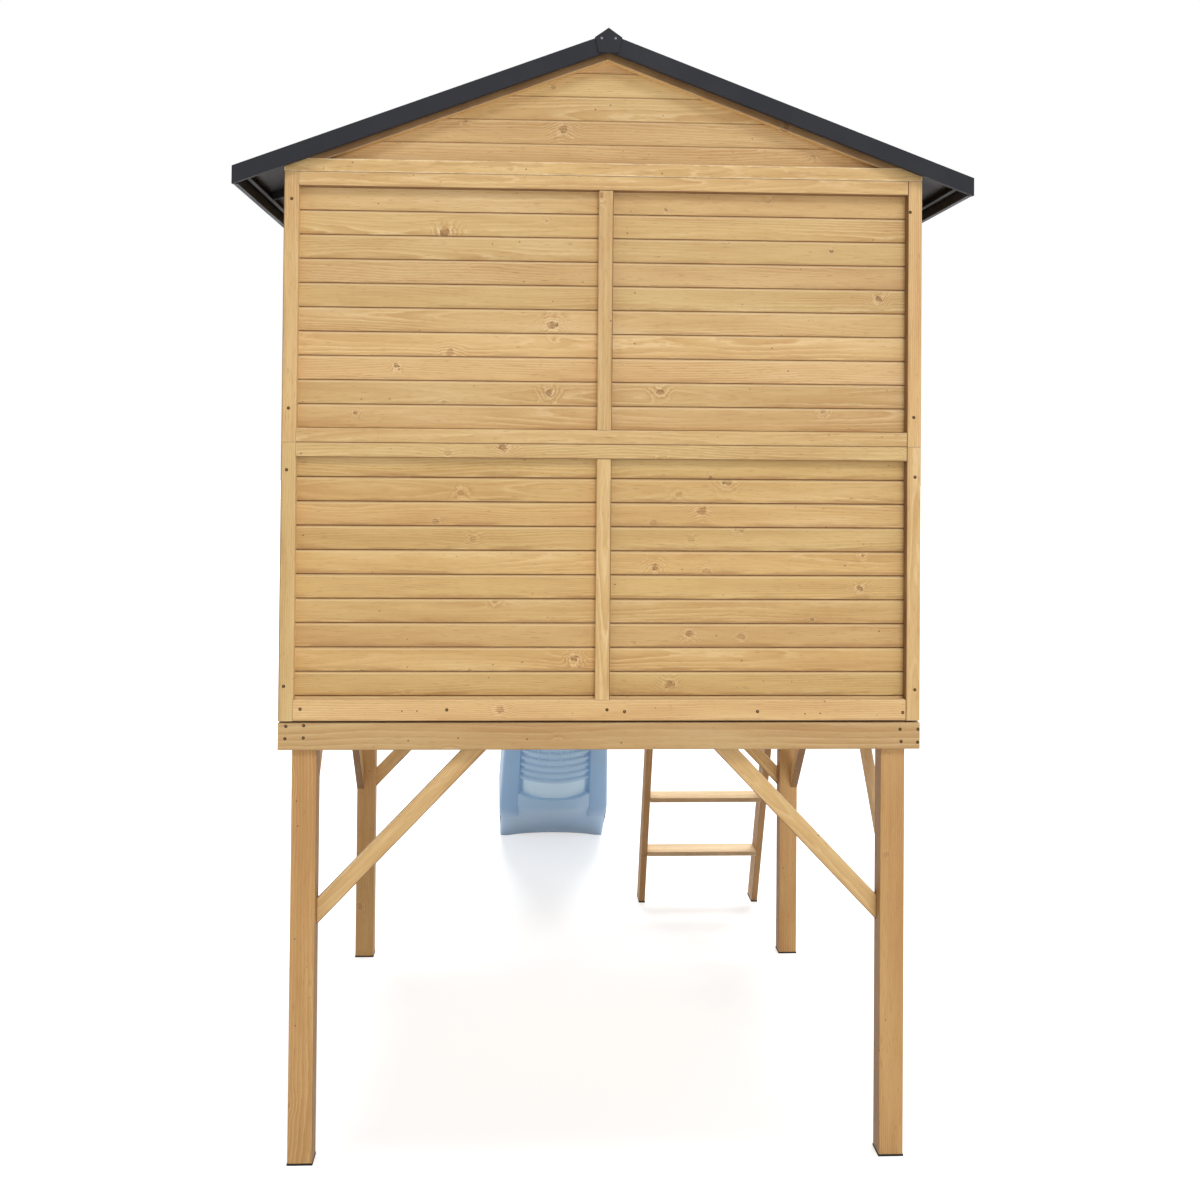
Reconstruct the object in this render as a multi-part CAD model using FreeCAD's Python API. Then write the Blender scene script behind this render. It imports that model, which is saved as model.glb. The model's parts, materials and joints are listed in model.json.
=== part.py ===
import FreeCAD, Part
import math
import os

from FreeCAD import Vector

# Timber playhouse on four posts, with a verandah, a ladder and a moulded slide.
# Lengths are in millimetres. X runs across the house, Y from the rear wall
# towards the slide, Z up. Y is counted from the rear face of the platform
# while the pieces are made, and the whole part is centred when it is saved.

# Platform
platform_w = 1680.0
platform_d = 1680.0
beam_bottom_z = 1080.0
beam_h = 70.0
beam_t = 32.0
edge_ease = 2.0

# Deck
deck_t = 18.0
deck_proud = 4.5
deck_clear = 1.5
deck_board_count = 16
deck_board_gap = 5.0
joist_t = 32.0
joist_h = 52.0
joist_step = 242.0

# Posts, feet and braces
post_side = 65.0
pad_t = 5.0
pad_lip = 1.0
brace_w = 46.0
brace_t = 24.0
brace_pitch = 46.0
brace_drop = 404.0

# Wall panels: battens outside, boards inside
frame_t = 30.0
clad_t = 12.0
stile_w = 38.0
rail_w = 38.0
sill_rail_w = 55.0
lower_h = 722.0
upper_h = 706.0
board_pitch = 63.5
lower_first_board = 59.5
upper_first_board = 36.5
lap_h = 5.0
groove = 3.0
house_d = 1100.0

# Windows
window_w = 404.0
window_first_row = 3
window_rows = 6
window_lip = 8.0
pane_t = 3.0
bar_w = 22.0
bar_t = 14.0
window_from_corner = 278.0
sash_w = 34.0
sash_t = 26.0
leaf_gap = 3.0

# Door
door_from_corner = 180.0
door_w = 480.0
door_top_row = 7
door_stop = 10.0
door_floor_gap = 8.0
door_board_count = 5
door_board_t = 12.0
ledge_w = 70.0
ledge_t = 16.0
ledge_inset = 90.0
pull_l = 150.0
pull_w = 20.0
pull_t = 14.0
pull_foot_l = 26.0
pull_foot_t = 16.0
pull_inset = 34.0
pull_z = 480.0

# Hinges
hinge_h = 72.0
hinge_plate_w = 26.0
hinge_plate_t = 2.0
knuckle_r = 5.0
knuckle_gap = 0.4
knuckle_count = 3
knuckle_sides = 12
root_share = 0.7
pin_r = 2.2
pin_clear = 0.06
hinge_clear = 0.5
plate_clear = 7.0
hinge_inset = 160.0
sash_hinge_inset = 40.0

# Turn button
button_l = 76.0
button_w = 20.0
button_t = 9.0
button_bevel = 6.0
button_clear = 0.4
button_pin_r = 2.5
button_head_r = 5.5
button_head_sides = 6
button_head_t = 2.5
button_z = 700.0

# Roof
roof_pitch = 20.5
gable_rail_h = 34.0
gable_board_pitch = 63.5
gable_first_board = 23.5
raker_w = 27.0
roof_seat = 12.0
eave_out = 128.0
roof_out = 40.0
roof_t = 28.5
roof_skin = 4.0
roof_lip = 5.0
roof_panel_count = 4
roof_rib_count = 3
course_count = 6
course_step = 4.0
trim_h = 44.0
trim_t = 18.0
eave_trim_h = 45.0
eave_trim_t = 14.0
ridge_w = 38.0
ridge_h = 60.0
purlin_w = 45.0
purlin_t = 32.0
cap_half_w = 36.0
cap_lip = 2.0
cap_rise = 14.0
cap_plate_t = 4.0
cap_plate_h = 66.0
cap_plate_foot_w = 53.0

# Verandah
verandah_post = 65.0
header_w = 42.0
header_h = 60.0
rail_post_h = 700.0
handrail_h = 640.0
handrail_w = 45.0
handrail_t = 32.0
bottom_rail_up = 60.0
baluster = 28.0
baluster_gap = 75.0
slide_centre_x = -67.0
slide_opening = 519.0
rail_post = 65.0

# Ladder
ladder_w = 486.0
ladder_rail_t = 24.0
ladder_rail_w = 95.0
ladder_reach = 515.0
tread_t = 18.0
tread_d = 118.0
tread_first = 238.0
tread_rise = 243.0
tread_count = 4

# Slide
slide_seat = 74.0
slide_top_w = 448.0
slide_foot_w = 494.0
slide_flare_share = 0.6
slide_tilt = 40.0
slide_exit_tilt = 3.0
crest_r = 250.0
valley_r = 400.0
slide_exit_z = 150.0
runout = 315.0
bed_t = 6.0
band_w = 74.0
band_draft = 6.0
band_drop = 34.0
rim_w = 36.0
rim_round = 9.0
side_draft = 5.0
wall_draft = 14.0
bed_round = 26.0
bend_share = 0.25
slide_wall_h = 125.0
slide_start_wall_h = 70.0
slide_exit_wall_h = 60.0
slide_start_gap = 1.0
slide_step = 5.0
arc_steps = 4
bed_dish = 30.0
exit_dish = 12.0
dish_shares = (-0.6, -0.2, 0.2, 0.6)
rib_pitch = 59.0
rib_w = 24.0
rib_h = 10.0
rib_free = 245.0
rib_count = 18
ribs_under_waffle_count = 3
waffle_gap_count = 5
waffle_count = 6
waffle_pitch = 48.0
waffle_w = 8.0
waffle_h = 6.0
foot_wall_t = 6.0
foot_setback = 165.0
foot_arch_h = 18.0
foot_toe_w = 40.0

# Overrun of cutting solids, and how far joined mouldings run into each other
overrun = 1.0

# Places worked out from the sizes above
half_w = platform_w / 2
deck_top = beam_bottom_z + beam_h + deck_proud
deck_under = deck_top - deck_t
post_x = half_w - beam_t
post_far = beam_t + post_side
wall_t = frame_t + clad_t
split_z = deck_top + lower_h
wall_top = split_z + upper_h
roof_tan = math.tan(math.radians(roof_pitch))
roof_cos = math.cos(math.radians(roof_pitch))
roof_sin = math.sin(math.radians(roof_pitch))
gable_rail_top = wall_top + gable_rail_h
under_ridge_z = gable_rail_top - roof_seat + half_w * roof_tan
roof_meets_rail_x = half_w - roof_seat / roof_tan
roof_half_w = half_w + eave_out
roof_rise = roof_t / roof_cos
door_opening_h = lower_h + upper_first_board + door_top_row * board_pitch
door_h = door_opening_h + door_stop
door_left_x = door_from_corner - half_w
window_left_x = half_w - window_from_corner - window_w
slide_half_top = slide_top_w / 2
slide_half_foot = slide_foot_w / 2
crest_tilt = math.radians(slide_tilt)
exit_tilt = math.radians(slide_exit_tilt)


def placed(axis, level, a, b):
    """Point at a level along axis, with a and b on the other two axes."""
    if axis == "x":
        return Vector(level, a, b)
    if axis == "y":
        return Vector(a, level, b)
    return Vector(a, b, level)


def prism(axis, span, points):
    """Outline square to axis, pushed along it over the span."""
    corners = [placed(axis, span[0], a, b) for a, b in points]
    face = Part.Face(Part.makePolygon(corners + corners[:1]))
    return face.extrude(placed(axis, span[1] - span[0], 0, 0))


def block(x, y, z):
    """Plain rectangular solid between the given pairs of limits."""
    return Part.makeBox(x[1] - x[0], y[1] - y[0], z[1] - z[0], Vector(x[0], y[0], z[0]))


def timber(x, y, z):
    """Planed timber: a rectangular length with its long edges eased."""
    spans = {"x": x, "y": y, "z": z}
    along = max(spans, key=lambda axis: spans[axis][1] - spans[axis][0])
    (a0, a1), (b0, b1) = [spans[axis] for axis in "xyz" if axis != along]
    e = edge_ease
    outline = [
        (a0 + e, b0), (a1 - e, b0), (a1, b0 + e), (a1, b1 - e),
        (a1 - e, b1), (a0 + e, b1), (a0, b1 - e), (a0, b0 + e),
    ]
    return prism(along, spans[along], outline)


def many_sided(sides, radius, z):
    """Upright prism with flats that touch a circle of the given radius from outside."""
    corner_r = radius / math.cos(math.pi / sides)
    turns = [2 * math.pi * (i + 1 / 2) / sides for i in range(sides)]
    return prism("z", z, [(corner_r * math.cos(t), corner_r * math.sin(t)) for t in turns])


def turned(solids, degrees):
    """Solids turned about the vertical axis through the origin."""
    for solid in solids:
        solid.rotate(Vector(0, 0, 0), Vector(0, 0, 1), degrees)
    return solids


def moved(solids, x, y, z):
    """Solids shifted by the given distances."""
    for solid in solids:
        solid.translate(Vector(x, y, z))
    return solids


def across(solids):
    """The same solids on the other side of the house."""
    return [solid.mirror(Vector(0, 0, 0), Vector(1, 0, 0)) for solid in solids]


def lengthwise(solids, depth):
    """Solids mirrored front to back within the given depth."""
    return [solid.mirror(Vector(0, depth / 2, 0), Vector(0, 1, 0)) for solid in solids]


# Platform and legs

def post(side, front):
    """One square leg, from its foot pad to the deck."""
    x = sorted((side * post_x, side * (post_x - post_side)))
    y = (beam_t, post_far)
    leg = timber(x, y, (pad_t, deck_under))
    return lengthwise([leg], platform_d) if front else [leg]


def rear_beam():
    return [timber((-half_w, half_w), (0, beam_t), (beam_bottom_z, beam_bottom_z + beam_h))]


def side_beam(side):
    x = sorted((side * half_w, side * post_x))
    return [timber(x, (beam_t, platform_d - beam_t), (beam_bottom_z, beam_bottom_z + beam_h))]


def floor_joists():
    """Joists beside the posts, a step further in, and one in the middle."""
    x = (-post_x, post_x)
    z = (deck_under - joist_h, deck_under)
    rear = [timber(x, (y, y + joist_t), z) for y in (post_far, post_far + joist_step)]
    middle = timber(x, ((platform_d - joist_t) / 2, (platform_d + joist_t) / 2), z)
    return rear + [middle] + lengthwise(rear, platform_d)


def deck_boards():
    clear_w = platform_w - 2 * (beam_t + deck_clear)
    board_w = (clear_w - deck_board_gap * (deck_board_count - 1)) / deck_board_count
    y = (beam_t + deck_clear, platform_d - beam_t - deck_clear)
    boards = []
    for i in range(deck_board_count):
        x = -clear_w / 2 + i * (board_w + deck_board_gap)
        boards.append(timber((x, x + board_w), y, (deck_under, deck_top)))
    return boards


def brace_outline(start, direction):
    """Outline of a brace that leaves a post face and ends under the deck."""
    rise = math.tan(math.radians(brace_pitch))
    upper = beam_bottom_z - brace_drop
    lower = upper - brace_w / math.cos(math.radians(brace_pitch))
    upper_end = start + direction * (deck_under - upper) / rise
    lower_end = start + direction * (deck_under - lower) / rise
    return [(start, lower), (start, upper), (upper_end, deck_under), (lower_end, deck_under)]


def rear_braces():
    left = prism("y", (post_far - brace_t, post_far), brace_outline(post_side - post_x, 1))
    return [left] + across([left])


def front_braces():
    y = (platform_d - beam_t - brace_t, platform_d - beam_t)
    left = prism("y", y, brace_outline(post_side - post_x, 1))
    return [left] + across([left])


def side_braces():
    left = prism("x", (-post_x, brace_t - post_x), brace_outline(post_far, 1))
    pair = [left] + lengthwise([left], platform_d)
    return pair + across(pair)


def foot_pads():
    """Thin pads under the four posts and the two ladder rails."""
    x = (-post_x - pad_lip, post_side - post_x + pad_lip)
    rear = block(x, (beam_t - pad_lip, post_far + pad_lip), (0, pad_t))
    left = [rear] + lengthwise([rear], platform_d)
    foot_y = platform_d + ladder_reach
    ladder = []
    for x0 in (ladder_left_x, ladder_left_x + ladder_w - ladder_rail_t):
        span = (x0 - pad_lip, x0 + ladder_rail_t + pad_lip)
        depth = (foot_y - pad_lip, foot_y + ladder_rail_depth + pad_lip)
        ladder.append(block(span, depth, (0, pad_t)))
    return left + across(left) + ladder


# Wall panels, made as a rear wall: outside face at y = 0, first corner at x = 0

def rows(height, first, pitch):
    """Heights of the joints between boards, the lowest and highest cut to fit."""
    levels = [0, first]
    while levels[-1] + pitch < height:
        levels.append(levels[-1] + pitch)
    return levels + [height]


def wall_board(x, z, lap_below, lap_above):
    """Board with both outside edges bevelled, lapped on a slope over the one below."""
    out, back = frame_t, wall_t
    low = z[0] + (lap_h if lap_below else 0)
    high = z[1] + (lap_h if lap_above else 0)
    outline = [
        (out, z[0] + groove), (out + groove, z[0]), (back, low),
        (back, high), (out + groove, z[1]), (out, z[1] - groove),
    ]
    return prism("x", x, outline)


def boarded(width, levels, gaps):
    """Rows of boards over the width. gaps holds (row set, start, end) to leave open."""
    boards = []
    last = len(levels) - 2
    for row in range(last + 1):
        z = (levels[row], levels[row + 1])
        spans = [(0, width)]
        for open_rows, start, end in gaps:
            if row in open_rows:
                left = [(a, min(b, start)) for a, b in spans]
                right = [(max(a, end), b) for a, b in spans]
                spans = [(a, b) for a, b in left + right if b > a]
        for x in spans:
            boards.append(wall_board(x, z, row > 0, row < last))
    return boards


def batten(x, z):
    """Batten of a wall frame, with the two edges that show eased."""
    e = edge_ease
    if x[1] - x[0] > z[1] - z[0]:
        outline = [
            (e, z[0]), (frame_t, z[0]), (frame_t, z[1]),
            (e, z[1]), (0, z[1] - e), (0, z[0] + e),
        ]
        return prism("x", x, outline)
    outline = [
        (x[0] + e, 0), (x[1] - e, 0), (x[1], e),
        (x[1], frame_t), (x[0], frame_t), (x[0], e),
    ]
    return prism("z", z, outline)


def panel_frame(width, height, low_rail):
    """Two stiles with a rail between them at the top and at the bottom."""
    inner = (stile_w, width - stile_w)
    return [
        batten((0, stile_w), (0, height)),
        batten((width - stile_w, width), (0, height)),
        batten(inner, (0, low_rail)),
        batten(inner, (height - rail_w, height)),
    ]


def middle_batten(width, height, low_rail):
    return batten(((width - stile_w) / 2, (width + stile_w) / 2), (low_rail, height - rail_w))


def window_levels():
    """Lowest and highest level of the window gap in the upper panel's boards."""
    levels = rows(upper_h, upper_first_board, board_pitch)
    return levels[window_first_row], levels[window_first_row + window_rows]


def window_frame(x, height):
    """Studs, sill and head round a window gap that spans x in the boards."""
    low, high = window_levels()
    left, right = x[0] - window_lip, x[1] + window_lip
    z = (rail_w, height - rail_w)
    return [
        batten((left - stile_w, left), z),
        batten((right, right + stile_w), z),
        batten((left, right), (low - window_lip - rail_w, low - window_lip)),
        batten((left, right), (high + window_lip, high + window_lip + rail_w)),
    ]


def window_row_set():
    return range(window_first_row, window_first_row + window_rows)


def rear_lower_frame():
    frame = panel_frame(platform_w, lower_h, sill_rail_w)
    frame.append(middle_batten(platform_w, lower_h, sill_rail_w))
    return moved(frame, -half_w, 0, deck_top)


def rear_lower_boards():
    levels = rows(lower_h, lower_first_board, board_pitch)
    return moved(boarded(platform_w, levels, []), -half_w, 0, deck_top)


def rear_upper_frame():
    frame = panel_frame(platform_w, upper_h, rail_w)
    frame.append(middle_batten(platform_w, upper_h, rail_w))
    return moved(frame, -half_w, 0, split_z)


def rear_upper_boards():
    levels = rows(upper_h, upper_first_board, board_pitch)
    return moved(boarded(platform_w, levels, []), -half_w, 0, split_z)


# Side walls stand between the rear and the front wall

side_len = house_d - 2 * wall_t
side_window = ((side_len - window_w) / 2, (side_len + window_w) / 2)


def on_right(solids):
    """Solids of a wall made at the origin, set up as the right-hand wall."""
    return moved(turned(solids, 90), half_w, wall_t, 0)


def right_wall_frame():
    lower = panel_frame(side_len, lower_h, sill_rail_w)
    lower.append(middle_batten(side_len, lower_h, sill_rail_w))
    upper = panel_frame(side_len, upper_h, rail_w) + window_frame(side_window, upper_h)
    return on_right(moved(lower, 0, 0, deck_top) + moved(upper, 0, 0, split_z))


def right_wall_boards():
    low = boarded(side_len, rows(lower_h, lower_first_board, board_pitch), [])
    gap = (window_row_set(), side_window[0], side_window[1])
    high = boarded(side_len, rows(upper_h, upper_first_board, board_pitch), [gap])
    return on_right(moved(low, 0, 0, deck_top) + moved(high, 0, 0, split_z))


def side_window_panes():
    low, high = window_levels()
    x = (side_window[0] - window_lip, side_window[1] + window_lip)
    z = (split_z + low - window_lip, split_z + high + window_lip)
    right = on_right([block(x, (frame_t - pane_t, frame_t), z)])
    return right + across(right)


def glazing_bars(x, y, z):
    """One upright bar and two short cross bars that butt against it."""
    mid_x, mid_z = sum(x) / 2, sum(z) / 2
    upright = (mid_x - bar_w / 2, mid_x + bar_w / 2)
    level = (mid_z - bar_w / 2, mid_z + bar_w / 2)
    return [
        timber(upright, y, z),
        timber((x[0], upright[0]), y, level),
        timber((upright[1], x[1]), y, level),
    ]


def side_window_bars():
    low, high = window_levels()
    x = (side_window[0] - window_lip, side_window[1] + window_lip)
    z = (split_z + low - window_lip, split_z + high + window_lip)
    y = (frame_t - pane_t - bar_t, frame_t - pane_t)
    right = on_right(glazing_bars(x, y, z))
    return right + across(right)


# Front wall, with the door and an opening window, made mirrored front to back

door_x = (door_left_x + half_w, door_left_x + half_w + door_w)
front_window = (window_left_x + half_w, window_left_x + half_w + window_w)


def front_wall_frame():
    height = lower_h + upper_h
    low, high = window_levels()
    left, right = front_window[0] - window_lip, front_window[1] + window_lip
    studs = [
        (0, stile_w),
        (door_x[0] - stile_w, door_x[0]),
        (door_x[1], door_x[1] + stile_w),
        (left - stile_w, left),
        (right, right + stile_w),
        (platform_w - stile_w, platform_w),
    ]
    frame = [batten(stud, (0, height)) for stud in studs]
    bays = [(studs[i][1], studs[i + 1][0]) for i in range(len(studs) - 1)]
    doorway, window_bay = bays[1], bays[3]
    for bay in bays:
        frame.append(batten(bay, (height - rail_w, height)))
        if bay != doorway:
            frame.append(batten(bay, (0, sill_rail_w)))
    for bay in (bays[0], bays[2], bays[4]):
        frame.append(batten(bay, (lower_h - rail_w / 2, lower_h + rail_w / 2)))
    sill = lower_h + low - window_lip
    head = lower_h + high + window_lip
    frame.append(batten(window_bay, (sill - rail_w, sill)))
    frame.append(batten(window_bay, (head, head + rail_w)))
    frame.append(batten(doorway, (door_h, door_h + rail_w)))
    return on_front(frame)


def on_front(solids):
    """Solids of a wall made at the origin, set up as the front wall."""
    return lengthwise(moved(solids, -half_w, 0, deck_top), house_d)


def front_wall_boards():
    low_rows = rows(lower_h, lower_first_board, board_pitch)
    high_rows = rows(upper_h, upper_first_board, board_pitch)
    doorway = (door_x[0] + door_stop, door_x[1] - door_stop)
    all_low = range(len(low_rows))
    door_rows = range(door_top_row + 1)
    low = boarded(platform_w, low_rows, [(all_low, doorway[0], doorway[1])])
    gaps = [
        (door_rows, doorway[0], doorway[1]),
        (window_row_set(), front_window[0], front_window[1]),
    ]
    high = boarded(platform_w, high_rows, gaps)
    return on_front(low + moved(high, 0, 0, lower_h))


# Door leaf: upright boards on ledges and braces

def door_leaf_x():
    return door_x[0] + leaf_gap, door_x[1] - leaf_gap


def door_boards():
    x0, x1 = door_leaf_x()
    width = (x1 - x0) / door_board_count
    z = (door_floor_gap, door_h - leaf_gap)
    boards = []
    for i in range(door_board_count):
        a, b = x0 + i * width, x0 + (i + 1) * width
        outline = [
            (a, groove), (a + groove, 0), (b - groove, 0), (b, groove),
            (b, door_board_t), (a, door_board_t),
        ]
        boards.append(prism("z", z, outline))
    return on_front(boards)


def ledge_levels():
    """Lower edges of the three ledges, evenly spread."""
    lowest = door_floor_gap + ledge_inset
    highest = door_h - leaf_gap - ledge_inset - ledge_w
    return lowest, (lowest + highest) / 2, highest


def door_ledges():
    x0, x1 = door_leaf_x()
    x = (x0 + groove, x1 - groove)
    y = (door_board_t, door_board_t + ledge_t)
    levels = ledge_levels()
    ledges = [block(x, y, (z, z + ledge_w)) for z in levels]
    for low, high in zip(levels, levels[1:]):
        foot, head = low + ledge_w, high
        slant = ledge_w / math.cos(math.atan2(x[1] - x[0], head - foot))
        outline = [(x[0], foot), (x[0] + slant, foot), (x[1], head), (x[1] - slant, head)]
        ledges.append(prism("y", y, outline))
    return on_front(ledges)


def door_pull():
    """Wooden grip on two feet."""
    right = door_x[1] - leaf_gap - pull_inset
    x = (right - pull_w, right)
    z = (pull_z, pull_z + pull_l)
    grip = timber(x, (-pull_foot_t - pull_t, -pull_foot_t), z)
    low = block(x, (-pull_foot_t, 0), (z[0], z[0] + pull_foot_l))
    high = block(x, (-pull_foot_t, 0), (z[1] - pull_foot_l, z[1]))
    return on_front([grip, low, high])


# Butt hinges. The pin stands clear of the face, over the gap beside the leaf

def hinge_axis_y():
    return house_d + knuckle_r + hinge_clear


def hinge_leaf(side, knuckles, z0):
    """Plate on one side of the pin, with its own knuckles bent round the pin."""
    step = hinge_h / knuckle_count
    face_y = -knuckle_r - hinge_clear
    plate_x = sorted((side * plate_clear, side * (plate_clear + hinge_plate_w)))
    plate = block(plate_x, (face_y, face_y + hinge_plate_t), (z0, z0 + hinge_h))
    web_x = sorted((0, side * plate_clear))
    pieces = []
    for i in knuckles:
        z = (z0 + i * step + knuckle_gap / 2, z0 + (i + 1) * step - knuckle_gap / 2)
        pieces.append(many_sided(knuckle_sides, knuckle_r, z))
        pieces.append(block(web_x, (face_y, face_y + hinge_plate_t), z))
        root = (face_y + hinge_plate_t, face_y + knuckle_r)
        pieces.append(block(sorted((0, side * knuckle_r * root_share)), root, z))
    leaf = plate.fuse(pieces).removeSplitter()
    reach = (z0 - overrun, z0 + hinge_h + overrun)
    return leaf.cut(many_sided(knuckle_sides, pin_r + pin_clear, reach))


def hinge_pin(z0):
    return Part.makeCylinder(pin_r, hinge_h, Vector(0, 0, z0))


def hinges_fixed(x, levels):
    """Fixed leaves and pins of the hinges whose lower ends are at the levels."""
    solids = []
    for z0 in levels:
        solids.append(hinge_leaf(-1, range(0, knuckle_count, 2), z0))
        solids.append(hinge_pin(z0))
    return moved(solids, x, hinge_axis_y(), deck_top)


def hinges_moving(x, levels):
    solids = [hinge_leaf(1, range(1, knuckle_count, 2), z0) for z0 in levels]
    return moved(solids, x, hinge_axis_y(), deck_top)


def door_hinge_x():
    return door_x[0] + leaf_gap / 2 - half_w


def door_hinge_levels():
    return hinge_inset, door_h - hinge_inset - hinge_h


def sash_hinge_x():
    return front_window[0] - window_lip + leaf_gap / 2 - half_w


def sash_hinge_levels():
    low, high = window_levels()
    bottom = lower_h + low + sash_hinge_inset
    return bottom, lower_h + high - sash_hinge_inset - hinge_h


# Turn button that holds the door, on the post of the door frame

def button_place():
    return door_x[1] + stile_w / 2 - half_w, deck_top + button_z


def turn_button():
    """Upright bar with bevelled corners, bored for its screw."""
    half, reach, cut = button_w / 2, button_l / 2, button_bevel
    outline = [
        (-half, cut - reach), (cut - half, -reach), (half - cut, -reach), (half, cut - reach),
        (half, reach - cut), (half - cut, reach), (cut - half, reach), (-half, reach - cut),
    ]
    bar = prism("y", (0, button_t), outline)
    bore = Part.makeCylinder(
        button_pin_r + pin_clear, button_t + 2 * overrun, Vector(0, -overrun, 0), Vector(0, 1, 0)
    )
    x, z = button_place()
    return moved([bar.cut(bore)], x, house_d + button_clear, z)


def turn_button_screw():
    """Plain shank under a six-sided head."""
    reach = button_t + 2 * button_clear
    shank = Part.makeCylinder(button_pin_r, reach, Vector(0, 0, 0), Vector(0, 1, 0))
    head = many_sided(button_head_sides, button_head_r, (-reach - button_head_t, -reach))
    head.rotate(Vector(0, 0, 0), Vector(1, 0, 0), 90)
    x, z = button_place()
    return moved([shank.fuse(head).removeSplitter()], x, house_d, z)


# Opening window in the front wall

def sash_box():
    """Outside limits of the sash in x and z, in the wall's own frame."""
    low, high = window_levels()
    x = (front_window[0] - window_lip + leaf_gap, front_window[1] + window_lip - leaf_gap)
    z = (lower_h + low - window_lip + leaf_gap, lower_h + high + window_lip - leaf_gap)
    return x, z


def window_sash():
    x, z = sash_box()
    y = (0, sash_t)
    inner_x = (x[0] + sash_w, x[1] - sash_w)
    inner_z = (z[0] + sash_w, z[1] - sash_w)
    pieces = [
        timber((x[0], inner_x[0]), y, z),
        timber((inner_x[1], x[1]), y, z),
        timber(inner_x, y, (z[0], inner_z[0])),
        timber(inner_x, y, (inner_z[1], z[1])),
    ]
    return on_front(pieces + glazing_bars(inner_x, (0, (sash_t - pane_t) / 2), inner_z))


def window_pane():
    x, z = sash_box()
    y = ((sash_t - pane_t) / 2, (sash_t + pane_t) / 2)
    pane = block((x[0] + sash_w, x[1] - sash_w), y, (z[0] + sash_w, z[1] - sash_w))
    return on_front([pane])


# Gables and roof

def under_z(x):
    """Height of the underside of the roof at a distance x from the middle."""
    return under_ridge_z - abs(x) * roof_tan


def on_slope(along, up):
    """Place on the right-hand slope: along it from the ridge, and up from its underside."""
    return along * roof_cos + up * roof_sin, under_ridge_z - along * roof_sin + up * roof_cos


def gable_frame(y):
    """Bottom rail and two battens that follow the roof."""
    top, end = gable_rail_top, roof_meets_rail_x
    side = [(half_w, wall_top), (half_w, under_z(half_w)), (end, top)]
    rail = prism("y", y, side + [(-x, z) for x, z in reversed(side)])
    drop = raker_w / roof_cos
    foot_x = end - drop / roof_tan
    outline = [(end, top), (0, under_ridge_z), (0, under_ridge_z - drop), (foot_x, top)]
    raker = prism("y", y, outline)
    return [rail, raker] + across([raker])


def gable_boards():
    """Boards behind the gable frame, trimmed to the roof line."""
    height = under_ridge_z - wall_top
    levels = rows(height, gable_first_board, gable_board_pitch)
    boards = moved(boarded(platform_w, levels, []), -half_w, 0, wall_top)
    corner_z = under_z(half_w)
    outline = [
        (-half_w, wall_top), (half_w, wall_top), (half_w, corner_z),
        (0, under_ridge_z), (-half_w, corner_z),
    ]
    shape = prism("y", (frame_t - overrun, wall_t + overrun), outline)
    return [board.common(shape).Solids[0] for board in boards]


def eave_plates():
    """Bevelled plates on the side walls and the verandah headers."""
    inner = half_w - wall_t
    outline = [
        (half_w, wall_top), (half_w, under_z(half_w)),
        (inner, under_z(inner)), (inner, wall_top),
    ]
    house = prism("y", (wall_t, house_d - wall_t), outline)
    verandah = prism("y", (house_d, platform_d - frame_t), outline)
    return [house, verandah] + across([house, verandah])


def ridge_beam():
    """Ridge timbers inside the house and over the verandah."""
    x = (-ridge_w / 2, ridge_w / 2)
    top = under_z(ridge_w / 2 - edge_ease)
    z = (top - ridge_h, top)
    return [timber(x, (wall_t, house_d - wall_t), z), timber(x, (house_d, platform_d - frame_t), z)]


def purlins():
    """Timbers under the middle of each roof slope."""
    middle = half_w / 2 / roof_cos
    low, high = middle - purlin_t / 2, middle + purlin_t / 2
    corners = [
        on_slope(low, 0), on_slope(high, 0),
        on_slope(high, -purlin_w), on_slope(low, -purlin_w),
    ]
    house = prism("y", (wall_t, house_d - wall_t), corners)
    verandah = prism("y", (house_d, platform_d - frame_t), corners)
    return [house, verandah] + across([house, verandah])


def roof_panel(y):
    """Moulded panel with stepped courses on top and a lipped, ribbed underside."""
    slope = (roof_half_w - eave_trim_t - roof_t * roof_sin) / roof_cos
    low_top = roof_t - course_step
    start = roof_t * roof_tan
    course = (slope - start) / course_count
    outline = [(0, 0), (-roof_tan * low_top, low_top), (start + course, roof_t)]
    for i in range(1, course_count):
        outline.append((start + i * course, low_top))
        outline.append((start + (i + 1) * course, roof_t))
    outline.append((slope, 0))
    body = prism("y", y, [on_slope(a, b) for a, b in outline])
    cell_x = (slope - 2 * roof_lip - start) / (roof_rib_count + 1)
    cell_y = (y[0] + roof_lip, y[1] - roof_lip)
    ceiling = low_top - roof_skin
    for i in range(roof_rib_count + 1):
        a = start + roof_lip + i * cell_x
        b = a + cell_x - roof_lip
        cell = [(a, -overrun), (b, -overrun), (b, ceiling), (a, ceiling)]
        body = body.cut(prism("y", cell_y, [on_slope(along, up) for along, up in cell]))
    return body


def roof_panels_right():
    """Panels side by side from the rear trim to the front trim."""
    rear = trim_t - roof_out
    width = (platform_d - 2 * rear) / roof_panel_count
    return [roof_panel((rear + i * width, rear + (i + 1) * width)) for i in range(roof_panel_count)]


def verge_trims():
    """Trim boards along the sloping edges at the rear and the front."""
    edge_x = roof_half_w
    top = under_ridge_z + roof_rise
    drop = trim_h / roof_cos
    foot = top - edge_x * roof_tan
    outline = [(0, top), (edge_x, foot), (edge_x, foot - drop), (0, top - drop)]
    rear = prism("y", (-roof_out, trim_t - roof_out), outline)
    right = [rear] + lengthwise([rear], platform_d)
    return right + across(right)


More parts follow.
